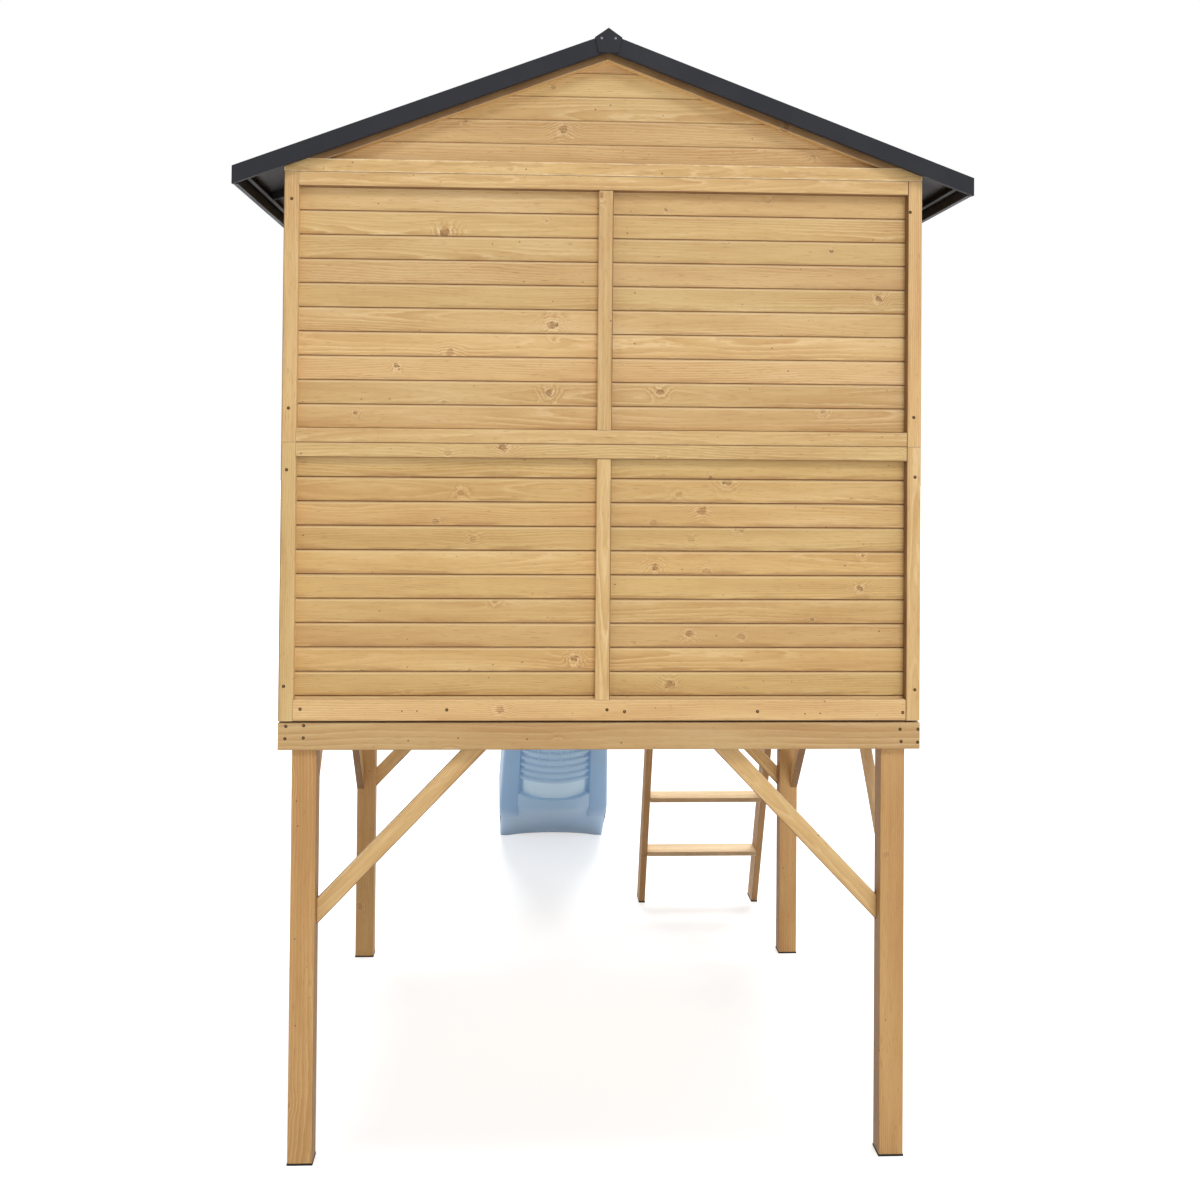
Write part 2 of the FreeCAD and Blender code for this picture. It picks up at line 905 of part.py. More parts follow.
def eave_trims():
    """Trim boards along the eaves, between the verge trims."""
    x = (roof_half_w - eave_trim_t, roof_half_w)
    top = under_ridge_z + roof_rise
    low = top - roof_half_w * roof_tan - eave_trim_h
    outline = [
        (x[0], low), (x[1], low),
        (x[1], top - x[1] * roof_tan), (x[0], top - x[0] * roof_tan),
    ]
    rear = trim_t - roof_out
    right = prism("y", (rear, platform_d - rear), outline)
    return [right] + across([right])


def ridge_cap():
    """Folded capping over the whole ridge, steeper than the roof."""
    top = under_ridge_z + roof_rise
    edge = top - cap_half_w * roof_tan
    outline = [
        (0, top), (cap_half_w, edge), (cap_half_w, edge + cap_lip),
        (0, top + cap_rise), (-cap_half_w, edge + cap_lip), (-cap_half_w, edge),
    ]
    return [prism("y", (-roof_out, platform_d + roof_out), outline)]


def ridge_end_caps():
    """Plates that close the ends of the capping."""
    ridge = under_ridge_z + roof_rise
    top = ridge + cap_rise
    shoulder = ridge - cap_half_w * roof_tan + cap_lip
    foot = top - cap_plate_h
    outline = [
        (0, top), (cap_half_w, shoulder), (cap_plate_foot_w / 2, foot),
        (-cap_plate_foot_w / 2, foot), (-cap_half_w, shoulder),
    ]
    rear = prism("y", (-roof_out - cap_plate_t, -roof_out), outline)
    return [rear] + lengthwise([rear], platform_d)


# Verandah

post_line = (platform_d - verandah_post, platform_d)
slide_post_x = slide_centre_x + slide_opening / 2


def verandah_posts():
    x = (-half_w, verandah_post - half_w)
    left = timber(x, post_line, (deck_top, wall_top - header_h))
    return [left] + across([left])


def rail_posts():
    """Short posts on both sides of the slide."""
    left = slide_centre_x - slide_opening / 2 - rail_post
    z = (deck_top, deck_top + rail_post_h)
    return [timber((x, x + rail_post), post_line, z) for x in (left, slide_post_x)]


def verandah_headers():
    z = (wall_top - header_h, wall_top)
    front = timber((-half_w, half_w), (platform_d - header_w, platform_d), z)
    left = timber((-half_w, header_w - half_w), (house_d, platform_d - header_w), z)
    return [front, left] + across([left])


def rail_levels():
    top = deck_top + handrail_h
    low = deck_top + bottom_rail_up
    return (low, low + handrail_w), (top - handrail_w, top)


def balustrade_runs():
    """Runs of the balustrade: axis along it, its limits, and its middle line."""
    front_y = platform_d - verandah_post / 2
    left_end = slide_centre_x - slide_opening / 2 - rail_post
    side_x = half_w - verandah_post / 2
    return [
        ("x", (verandah_post - half_w, left_end), front_y),
        ("y", (house_d, post_line[0]), -side_x),
        ("y", (house_d, post_line[0]), side_x),
    ]


def run_piece(axis, along, centre, width, z):
    side = (centre - width / 2, centre + width / 2)
    return timber(along, side, z) if axis == "x" else timber(side, along, z)


def balustrade_rails():
    rails = []
    for axis, along, centre in balustrade_runs():
        for z in rail_levels():
            rails.append(run_piece(axis, along, centre, handrail_t, z))
    return rails


def balusters():
    """Square bars between the rails, as many as keep the gaps under the limit."""
    low, high = rail_levels()
    z = (low[1], high[0])
    bars = []
    for axis, along, centre in balustrade_runs():
        length = along[1] - along[0]
        count = math.ceil((length - baluster_gap) / (baluster + baluster_gap))
        gap = (length - count * baluster) / (count + 1)
        for i in range(count):
            start = along[0] + gap + i * (baluster + gap)
            bars.append(run_piece(axis, (start, start + baluster), centre, baluster, z))
    return bars


# Ladder, between the slide's right-hand post and the corner post

ladder_bay = (slide_post_x + rail_post, half_w - verandah_post)
ladder_left_x = (sum(ladder_bay) - ladder_w) / 2
ladder_lean = math.atan2(beam_bottom_z - pad_t, ladder_reach)
ladder_rail_depth = ladder_rail_w / math.sin(ladder_lean)


def ladder_y(z):
    """Rear edge of the ladder rails at a height."""
    return platform_d + (beam_bottom_z - z) / math.tan(ladder_lean)


def ladder_rails():
    """Leaning rails, cut level at the foot and upright against the beam."""
    outline = [
        (ladder_y(pad_t), pad_t),
        (ladder_y(pad_t) + ladder_rail_depth, pad_t),
        (ladder_y(deck_top) + ladder_rail_depth, deck_top),
        (platform_d, deck_top),
        (platform_d, beam_bottom_z),
    ]
    left = (ladder_left_x, ladder_left_x + ladder_rail_t)
    right = (ladder_left_x + ladder_w - ladder_rail_t, ladder_left_x + ladder_w)
    return [prism("x", x, outline) for x in (left, right)]


def ladder_treads():
    x = (ladder_left_x + ladder_rail_t, ladder_left_x + ladder_w - ladder_rail_t)
    treads = []
    for i in range(tread_count):
        top = tread_first + i * tread_rise
        y = ladder_y(top) + (ladder_rail_depth - tread_d) / 2
        treads.append(timber(x, (y, y + tread_d), (top - tread_t, top)))
    return treads


# Slide: one hollow moulding, made from cross-sections along its bed

def arc_stations(y, z, radius, start, end, bend):
    """Stations along an arc of the bed, from one tilt to another."""
    stations = []
    for i in range(1, arc_steps + 1):
        tilt = start + (end - start) * i / arc_steps
        stations.append((
            y + bend * radius * (math.sin(tilt) - math.sin(start)),
            z - bend * radius * (math.cos(start) - math.cos(tilt)),
            tilt,
        ))
    return stations


def slide_path():
    """Stations of the bed: y, z and downward tilt, and where the slope starts and ends."""
    top_z = deck_top + bed_t
    start = platform_d - slide_seat
    edge = platform_d + slide_start_gap
    crest = edge + slide_step
    head = [(start, top_z, 0), (edge, top_z, 0), (crest, top_z, 0)]
    head += arc_stations(crest, top_z, crest_r, 0, crest_tilt, 1)
    slope_start = head[-1]
    valley_drop = valley_r * (math.cos(exit_tilt) - math.cos(crest_tilt))
    exit_drop = runout * math.sin(exit_tilt)
    fall = slope_start[1] - slide_exit_z - valley_drop - exit_drop
    length = fall / math.sin(crest_tilt)
    y = slope_start[0] + length * math.cos(crest_tilt)
    slope_end = (y, slope_start[1] - fall, crest_tilt)
    tail = arc_stations(y, slope_end[1], valley_r, crest_tilt, exit_tilt, -1)
    last = tail[-1]
    end = (last[0] + runout * math.cos(exit_tilt), last[1] - exit_drop, exit_tilt)
    return head, slope_start, slope_end, tail, end


def dished(half, dish, level):
    """Points across a bed that is lower in the middle, at a level over its edges."""
    return [(share * half, level - dish * (1 - share * share)) for share in dish_shares]


def at_station(station, outline):
    """Closed outline set square to the bed at a station."""
    y, z, tilt = station
    corners = [
        Vector(slide_centre_x + u, y + n * math.sin(tilt), z + n * math.cos(tilt))
        for u, n in outline
    ]
    return Part.makePolygon(corners + corners[:1])


def slide_section(station, half, wall_h, drop, dish):
    """Closed section of the moulding at a station."""
    bed_edge = half - rim_w - wall_draft
    side = [
        (half - band_w - band_draft, -bed_t),
        (half - band_w, -drop),
        (half - rim_round, -drop),
        (half - side_draft, rim_round - drop),
        (half, wall_h - rim_round),
        (half - rim_round, wall_h),
        (half - rim_w + rim_round, wall_h),
        (half - rim_w, wall_h - rim_round),
        (bed_edge, bed_round),
        (bed_edge - bed_round * bend_share, bed_round * bend_share),
        (bed_edge - bed_round, 0),
    ]
    top = dished(bed_edge - bed_round, dish, 0)
    under = dished(half - band_w - band_draft, dish, -bed_t)
    outline = side + top[::-1] + [(-u, n) for u, n in reversed(side)] + under
    return at_station(station, outline)


def slide_shell():
    head, slope_start, slope_end, tail, end = slide_path()
    level = [(station, slide_half_top, slide_start_wall_h, bed_t, 0) for station in head[:2]]
    level.append((head[2], slide_half_top, slide_start_wall_h, band_drop, 0))
    crest = []
    for i, station in enumerate(head[3:]):
        dish = bed_dish * (i + 1) / arc_steps
        crest.append((station, slide_half_top, slide_wall_h, band_drop, dish))
    flare = [a + (b - a) * slide_flare_share for a, b in zip(slope_start, slope_end)]
    valley = [
        (flare, slide_half_top, slide_wall_h, band_drop, bed_dish),
        (slope_end, slide_half_foot, slide_wall_h, band_drop, bed_dish),
    ]
    fade = (slide_wall_h - slide_exit_wall_h) / (len(tail) + 1)
    for i, station in enumerate(tail):
        wall_h = slide_wall_h - (i + 1) * fade
        valley.append((station, slide_half_foot, wall_h, band_drop, bed_dish))
    valley.append((end, slide_half_foot, slide_exit_wall_h, band_drop, exit_dish))
    wires = [slide_section(*entry) for entry in level + crest + valley]
    return Part.makeLoft(wires, True, True)


def slope_half(along, length):
    """Half width of the slide at a distance down the straight slope, which flares near its foot."""
    share = max(0, along / length - slide_flare_share) / (1 - slide_flare_share)
    return slide_half_top + (slide_half_foot - slide_half_top) * share


def on_bed(solid, y, z):
    """A solid made on a level bed, set on the slope at a station."""
    turn = FreeCAD.Rotation(Vector(1, 0, 0), -slide_tilt)
    solid.Placement = FreeCAD.Placement(Vector(slide_centre_x, y, z), turn)
    return solid


def rib(y, z, half):
    """Cross rib under the bed, bowed like it."""
    bow_half = half - band_w - band_draft
    reach = half - band_w
    top = overrun - bed_t
    low = -bed_t - rib_h
    outline = [(-reach, low), (-bow_half, low)] + dished(bow_half, bed_dish, low)
    outline += [(bow_half, low), (reach, low), (reach, top), (bow_half, top)]
    outline += dished(bow_half, bed_dish, top)[::-1] + [(-bow_half, top), (-reach, top)]
    return on_bed(prism("y", (0, rib_w), outline), y, z)


def waffle_bar(offset, y, z, length):
    """Rib along the slope, between cross ribs."""
    share = offset / (slide_half_top - band_w - band_draft)
    under = -bed_t - bed_dish * (1 - share * share)
    x = (offset - waffle_w / 2, offset + waffle_w / 2)
    return on_bed(block(x, (0, length), (under - waffle_h, under + bed_t / 2)), y, z)


def slide_ribs():
    """Cross ribs up the slope, and a field of ribs along it between some of them."""
    slope_start, slope_end = slide_path()[1:3]
    length = math.dist(slope_start[:2], slope_end[:2])
    places = []
    for i in range(rib_count):
        back = rib_free + rib_w + i * rib_pitch
        y = slope_end[0] - back * math.cos(crest_tilt)
        z = slope_end[1] + back * math.sin(crest_tilt)
        places.append((y, z, slope_half(length - back, length)))
    ribs = [rib(*place) for place in places]
    y, z = places[ribs_under_waffle_count + waffle_gap_count][:2]
    for k in range(waffle_count):
        offset = (k - (waffle_count - 1) / 2) * waffle_pitch
        ribs.append(waffle_bar(offset, y, z, waffle_gap_count * rib_pitch))
    return ribs


def over_bed():
    """Room over the middle of the bed's thickness, from the end of the slope onwards."""
    slope_end, tail, end = slide_path()[2:]
    level = -bed_t / 2
    reach = slide_half_foot + overrun
    bow_half = slide_half_foot - band_w - band_draft
    y, z, tilt = slope_end
    before = (y - overrun * math.cos(tilt), z + overrun * math.sin(tilt), tilt)
    y, z, tilt = end
    beyond = (y + overrun * math.cos(tilt), z - overrun * math.sin(tilt), tilt)
    stations = [(station, bed_dish) for station in [before] + tail] + [(beyond, exit_dish)]
    wires = []
    for station, dish in stations:
        outline = [(-reach, slide_wall_h), (-reach, level), (-bow_half, level)]
        outline += dished(bow_half, dish, level)
        outline += [(bow_half, level), (reach, level), (reach, slide_wall_h)]
        wires.append(at_station(station, outline))
    return Part.makeLoft(wires, True, True)


def slide_foot():
    """Hollow foot: its back carries on from the slope's side bands to an arched toe."""
    slope_end, tail, end = slide_path()[2:]
    y, z, tilt = slope_end
    back = (y - band_drop * math.sin(tilt), z - band_drop * math.cos(tilt))
    toe = end[0] - foot_setback
    front = end[0] - band_drop * math.sin(exit_tilt)
    half = slide_half_foot - side_draft
    profile = [back, (toe, 0), (front, 0), (front, end[1]), (y, z)]
    foot = prism("x", (-half, half), profile)
    lean = math.atan2(back[1], toe - back[0])
    ceiling = tail[-1][1] - bed_t - bed_dish - foot_wall_t
    inner_toe = toe + foot_wall_t / math.sin(lean)
    hollow = [
        (inner_toe + overrun / math.tan(lean), -overrun), (front - foot_wall_t, -overrun),
        (front - foot_wall_t, ceiling), (inner_toe - ceiling / math.tan(lean), ceiling),
    ]
    room = prism("x", (foot_wall_t - half, half - foot_wall_t), hollow)
    shell = foot.cut([room, foot_arch(half - foot_toe_w, back[0], front)])
    return [solid.cut(over_bed()) for solid in moved([shell], slide_centre_x, 0, 0)]


def foot_arch(reach, y0, y1):
    """Cutter for the shallow arch across the foot's lower edge."""
    left, right = Vector(-reach, y0, 0), Vector(reach, y0, 0)
    edges = [
        Part.LineSegment(right, left).toShape(),
        Part.Arc(left, Vector(0, y0, foot_arch_h), right).toShape(),
    ]
    return Part.Face(Part.Wire(edges)).extrude(Vector(0, y1 + overrun - y0, 0))


def slide_chute():
    return [slide_shell().fuse(slide_ribs() + slide_foot()).removeSplitter()]


rear_end = -roof_out - cap_plate_t
front_end = slide_path()[4][0] + slide_exit_wall_h * math.sin(exit_tilt)
origin_y = (rear_end + front_end) / 2


def save(name, solids):
    """Write one node, moved so that the part stands centred on the origin."""
    group = Part.makeCompound(solids) if len(solids) > 1 else solids[0]
    group.translate(Vector(0, -origin_y, 0))
    group.exportStep(os.path.join("parts", name + ".step"))


def main():
    os.makedirs("parts", exist_ok=True)
    roof_right = roof_panels_right()
    right_frame = right_wall_frame()
    right_boards = right_wall_boards()
    nodes = {
        "foot_pads": foot_pads(),
        "post_rear_left": post(-1, False),
        "post_rear_right": post(1, False),
        "post_front_left": post(-1, True),
        "post_front_right": post(1, True),
        "rear_beam": rear_beam(),
        "front_beam": lengthwise(rear_beam(), platform_d),
        "left_beam": side_beam(-1),
        "right_beam": side_beam(1),
        "floor_joists": floor_joists(),
        "deck_boards": deck_boards(),
        "rear_braces": rear_braces(),
        "front_braces": front_braces(),
        "side_braces": side_braces(),
        "rear_lower_frame": rear_lower_frame(),
        "rear_lower_boards": rear_lower_boards(),
        "rear_upper_frame": rear_upper_frame(),
        "rear_upper_boards": rear_upper_boards(),
        "rear_gable_frame": gable_frame((0, frame_t)),
        "rear_gable_boards": gable_boards(),
        "right_wall_frame": right_frame,
        "right_wall_boards": right_boards,
        "left_wall_frame": across(right_frame),
        "left_wall_boards": across(right_boards),
        "side_window_panes": side_window_panes(),
        "side_window_bars": side_window_bars(),
        "front_wall_frame": front_wall_frame(),
        "front_wall_boards": front_wall_boards(),
        "front_gable_frame": gable_frame((house_d - frame_t, house_d)),
        "front_gable_boards": lengthwise(gable_boards(), house_d),
        "door_boards": door_boards(),
        "door_ledges": door_ledges(),
        "door_pull": door_pull(),
        "door_hinge_fixed": hinges_fixed(door_hinge_x(), door_hinge_levels()),
        "door_hinge_moving": hinges_moving(door_hinge_x(), door_hinge_levels()),
        "turn_button": turn_button(),
        "turn_button_screw": turn_button_screw(),
        "window_sash": window_sash(),
        "window_pane": window_pane(),
        "window_hinge_fixed": hinges_fixed(sash_hinge_x(), sash_hinge_levels()),
        "window_hinge_moving": hinges_moving(sash_hinge_x(), sash_hinge_levels()),
        "verandah_posts": verandah_posts(),
        "rail_posts": rail_posts(),
        "verandah_headers": verandah_headers(),
        "verandah_gable_frame": gable_frame((platform_d - frame_t, platform_d)),
        "balustrade_rails": balustrade_rails(),
        "balusters": balusters(),
        "eave_plates": eave_plates(),
        "ridge_beam": ridge_beam(),
        "purlins": purlins(),
        "roof_panels_right": roof_right,
        "roof_panels_left": across(roof_right),
        "ridge_cap": ridge_cap(),
        "ridge_end_caps": ridge_end_caps(),
        "verge_trims": verge_trims(),
        "eave_trims": eave_trims(),
        "ladder_rails": ladder_rails(),
        "ladder_treads": ladder_treads(),
        "slide_chute": slide_chute(),
    }
    for name, solids in nodes.items():
        save(name, solids)


main()
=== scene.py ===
import json
import math
import random

import bmesh
import bpy
from mathutils import Matrix, Vector
from mathutils.bvhtree import BVHTree


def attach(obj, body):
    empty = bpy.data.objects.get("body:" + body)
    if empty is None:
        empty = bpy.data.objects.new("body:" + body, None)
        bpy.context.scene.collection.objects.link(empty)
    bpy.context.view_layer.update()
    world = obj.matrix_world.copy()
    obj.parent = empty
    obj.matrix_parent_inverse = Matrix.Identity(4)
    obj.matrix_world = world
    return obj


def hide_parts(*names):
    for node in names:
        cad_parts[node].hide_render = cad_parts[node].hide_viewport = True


bl_info = {
    "name": "Playhouse with slide",
    "version": (1, 0, 0),
    "blender": (4, 5, 0),
    "location": "3D View > Sidebar > Playhouse",
    "description": "Finishes a raised timber playhouse round its fixed frame",
    "category": "Add Mesh",
}

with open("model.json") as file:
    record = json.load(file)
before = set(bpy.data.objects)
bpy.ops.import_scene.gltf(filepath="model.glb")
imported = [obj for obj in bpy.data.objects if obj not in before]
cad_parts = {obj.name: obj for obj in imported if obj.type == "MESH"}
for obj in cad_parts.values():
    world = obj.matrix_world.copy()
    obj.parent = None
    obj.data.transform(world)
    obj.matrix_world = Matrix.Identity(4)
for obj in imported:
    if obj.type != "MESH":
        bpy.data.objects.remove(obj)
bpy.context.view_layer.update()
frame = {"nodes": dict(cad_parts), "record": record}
MM = 0.001


# Settings


def display(red, green, blue):
    """A colour as a screen shows it, 0 to 255, as the plain light values of a shader."""
    shares = [level / 255 for level in (red, green, blue)]
    return tuple(
        share / 12.92 if share <= 0.04045 else ((share + 0.055) / 1.055) ** 2.4
        for share in shares)


def colour_of(label, description, *levels):
    return bpy.props.FloatVectorProperty(
        name=label, description=description, subtype="COLOR", size=3, min=0, max=1,
        default=display(*levels))


def length_of(label, description, default):
    """A length in millimetres, which may be halved or doubled."""
    return bpy.props.FloatProperty(
        name=label, description=description, subtype="DISTANCE", unit="LENGTH",
        default=default * MM, min=default * MM / 2, max=default * MM * 2)


def angle_of(label, description, degrees):
    return bpy.props.FloatProperty(
        name=label, description=description, subtype="ANGLE", default=math.radians(degrees))


def level_of(label, description, default):
    return bpy.props.FloatProperty(
        name=label, description=description, default=default, min=0, max=10)


class PlayhouseFinish(bpy.types.PropertyGroup):
    """Colours of the stain, the mouldings and the ironmongery."""

    stain: colour_of("Stain", "Honey stain on the softwood", 217, 180, 121)
    late_wood: colour_of("Growth rings", "Darker rings of the softwood", 184, 134, 76)
    # Also the colour of the painted highlight along the upper edges of the boards, and of the worn
    # edges
    pale_wood: colour_of("Pale wood", "Light lines between the growth rings", 238, 208, 160)
    # Painted highlight along the edges of the raking battens
    bare_wood: colour_of("Edge highlight", "Painted highlight on the edges of the raking battens", 250, 226, 184)
    board_stain: colour_of("Board stain", "Deeper stain on the lower boards", 212, 174, 112)
    leg_stain: colour_of("Leg stain", "Browner stain on the square legs", 196, 150, 94)
    beam_stain: colour_of("Beam stain", "Darker stain on the platform beams", 197, 162, 106)
    # Painted highlight: a paler stain on the whole treads that stands in for the strong light on
    # their tops
    tread_stain: colour_of("Tread stain", "Paler stain painted on the treads for the strong light on their tops", 232, 204, 158)
    knot_heart: colour_of("Knot", "Middle of a knot", 148, 100, 50)
    knot_rim: colour_of("Knot rim", "Dark bark round a knot", 84, 50, 24)
    # Painted shade: the colour laid in the seams under the lap and in the gap between boards, and
    # on the board ends
    groove: colour_of("Groove", "Painted shade in the seams under the lap of a board", 100, 62, 28)
    slide_blue: colour_of("Slide", "Muted blue of the moulded slide", 139, 178, 217)
    # Painted light: a paler blue that stands in for light coming through the slide's single wall
    slide_thin: colour_of("Slide lit through", "Paler blue painted where light would come through", 210, 237, 255)
    roof_dark: colour_of("Roof", "Near-black of the roof mouldings", 28, 29, 36)
    pad_black: colour_of("Pads", "Black of the pads under the legs", 26, 26, 27)
    steel_dark: colour_of("Ironmongery", "Black coating of the hinges", 44, 44, 46)
    screw_steel: colour_of("Screws", "Bronze-coloured plating of the screws", 78, 58, 38)
    ridge_steel: colour_of("Ridge screws", "Bright screws in the ridge's ends", 138, 139, 144)


class PlayhouseSizes(bpy.types.PropertyGroup):
    """Small sizes that the finish adds to the frame."""

    timber_edge: length_of("Timber edge", "Width of the eased edges of the timber", 0.9)
    moulding_edge: length_of("Moulding edge", "Width of the rounded edges of the roof", 1.2)
    steel_edge: length_of("Hinge edge", "Width of the rounded edges of the hinges", 0.4)
    screw_head: length_of("Screw head", "Radius of a screw head", 4.2)
    nail_head: length_of("Nail head", "Radius of a nail head", 1.8)


class PlayhouseSlide(bpy.types.PropertyGroup):
    """Sizes of the slide's moulding, as the fixed frame has them."""

    top_w: length_of("Top width", "Width of the slide down to its flare", 448)
    foot_w: length_of("Foot width", "Width of the slide at its foot", 494)
    wall: length_of("Wall", "Height of the side walls over the bed", 125)
    head_wall: length_of("Head wall", "Height of the side walls on the deck", 70)
    exit_wall: length_of("Exit wall", "Height of the side walls at the exit", 60)
    crest_r: length_of("Crest radius", "Radius of the bed over the crest", 250)
    valley_r: length_of("Valley radius", "Radius of the bed into the run-out", 400)
    runout: length_of("Run-out", "Length of the straight run-out", 315)
    bed: length_of("Bed", "Thickness of the bed", 6)
    band: length_of("Band", "Width of the smooth bands under the sides", 74)
    band_drop: length_of("Band drop", "How far the bands reach below the bed", 34)
    rim: length_of("Rim", "Width of the rim on the side walls", 36)
    draft: length_of("Draft", "Lean of the moulding's outside", 5)
    wall_draft: length_of("Wall draft", "Lean of the side walls inside", 14)
    bed_round: length_of("Bed corner", "Radius between the bed and a side wall", 26)
    dish: length_of("Dish", "Depth of the bed's hollow across", 30)
    exit_dish: length_of("Exit dish", "Depth of the hollow at the exit", 12)
    rib_pitch: length_of("Rib pitch", "Distance between the cross ribs", 59)
    rib_w: length_of("Rib width", "Width of a cross rib", 24)
    rib_h: length_of("Rib height", "Depth of a cross rib", 10)
    rib_free: length_of("Plain length", "Length without ribs above the foot", 245)
    bar_pitch: length_of("Bar pitch", "Distance between the ribs along the slope", 48)
    bar_w: length_of("Bar width", "Width of a rib along the slope", 8)
    bar_h: length_of("Bar height", "Depth of a rib along the slope", 6)
    foot_wall: length_of("Foot wall", "Thickness of the walls of the foot", 6)
    foot_setback: length_of("Foot setback", "Distance from the toe to the end", 165)
    foot_arch: length_of("Foot arch", "Height of the arch across the toe", 18)
    toe_w: length_of("Toe width", "Width of the toe beside the arch", 40)
    lip: length_of("Lip", "Length of the lip over the foot, in the middle", 90)
    lip_side: length_of("Lip at the sides", "Length of the lip beside the bands", 125)
    lip_proud: length_of("Lip depth", "How far the lip stands below the bed", 13)


class PlayhouseStage(bpy.types.PropertyGroup):
    """The floor, the lamps and the camera."""

    camera_place: bpy.props.FloatVectorProperty(
        name="Camera", description="Where the camera stands",
        subtype="XYZ", unit="LENGTH", size=3, default=(-0.2075, -5.5655, 1.8905))
    camera_yaw: angle_of("Yaw", "Turn of the camera to the right of straight ahead", 2.872)
    camera_rise: angle_of("Rise", "Upward lean of the line of sight", 1.0)
    camera_roll: angle_of("Roll", "Turn of the camera about its line of sight", 0.474)
    lens: bpy.props.FloatProperty(
        name="Lens", description="Focal length in millimetres for a 36 mm frame",
        default=44.526, min=10, max=200)
    camera_shift: bpy.props.FloatProperty(
        name="Shift", description="How far the frame is moved down, as a share of its width",
        default=-0.1555, min=-0.5, max=0.5)
    sky_level: level_of("Sky", "Light from all round", 0.32)
    key_level: level_of("Key lamp", "Lamp above the camera", 0.9)
    fill_level: level_of("Fill lamp", "Soft low lamp beside the camera", 0.64)
    top_level: level_of("Top lamp", "Soft lamp straight above", 2.5)
    far_level: level_of("Far lamp", "Soft lamp over the verandah", 0.5)


# Shader nodes


class Shading:
    """A node tree, with short ways to add nodes to it."""

    def __init__(self, tree):
        self.tree = tree

    def feed(self, socket, value):
        """Links a socket into an input, or sets the input to a value."""
        if isinstance(value, bpy.types.NodeSocket):
            self.tree.links.new(value, socket)
        else:
            socket.default_value = value

    def add(self, kind, inputs=(), **settings):
        """A node with its settings, its inputs fed by name or number."""
        made = self.tree.nodes.new("ShaderNode" + kind)
        for name, value in settings.items():
            setattr(made, name, value)
        for name, value in dict(inputs).items():
            self.feed(made.inputs[name], value)
        return made

    def math(self, operation, *values):
        return self.add("Math", enumerate(values), operation=operation).outputs[0]

    def product(self, value, *others):
        for other in others:
            value = self.math("MULTIPLY", value, other)
        return value

    def line(self, value, slope, start):
        """A value times a slope, plus a start."""
        return self.math("MULTIPLY_ADD", value, slope, start)

    def vector(self, operation, *values):
        return self.add("VectorMath", enumerate(values), operation=operation).outputs[0]

    def split(self, kind, value):
        """The three parts of a vector, XYZ, or of a colour, Color."""
        return self.add("Separate" + kind, {0: value}).outputs

    def attribute(self, name, output="Fac"):
        return self.add("Attribute", attribute_name=name).outputs[output]

    def ramp(self, value, low, high, start=0.0, end=1.0):
        """Smooth step of a value between two limits."""
        inputs = {"Value": value, "From Min": low, "From Max": high, "To Min": start, "To Max": end}
        return self.add("MapRange", inputs, interpolation_type="SMOOTHSTEP").outputs["Result"]

    def noise(self, place, scale, detail=2.0, roughness=0.5):
        """Noise at one scale, or at a scale for each direction."""
        if isinstance(scale, tuple):
            place, scale = self.vector("MULTIPLY", place, scale), 1.0
        inputs = {"Vector": place, "Scale": scale, "Detail": detail, "Roughness": roughness}
        return self.add("TexNoise", inputs).outputs["Fac"]

    def blend(self, share, first, second):
        """A colour between two others."""
        made = self.add("Mix", {"Factor": share}, data_type="RGBA")
        colours = [socket for socket in made.inputs if socket.type == "RGBA"]
        for socket, value in zip(colours, (first, second)):
            self.feed(socket, value if isinstance(value, bpy.types.NodeSocket) else (*value, 1.0))
        return next(socket for socket in made.outputs if socket.type == "RGBA")

    def effect(self, build, inputs=()):
        """Outputs of the node group of an effect, placed with its own values."""
        return self.add("Group", inputs, node_tree=effect_group(build)).outputs


def effect_group(build):
    """The node group of an effect, with named inputs and outputs, built on its first use."""
    name = build.__name__
    if name in bpy.data.node_groups:
        return bpy.data.node_groups[name]
    tree = bpy.data.node_groups.new(name, "ShaderNodeTree")
    for label, default in EFFECT_INPUTS[build].items():
        tree.interface.new_socket(
            label, in_out="INPUT", socket_type="NodeSocketFloat").default_value = default
    values = build(Shading(tree), tree.nodes.new("NodeGroupInput").outputs)
    for label in values:
        tree.interface.new_socket(label, in_out="OUTPUT", socket_type="NodeSocketFloat")
    out = tree.nodes.new("NodeGroupOutput")
    for label, value in values.items():
        tree.links.new(value, out.inputs[label])
    return tree


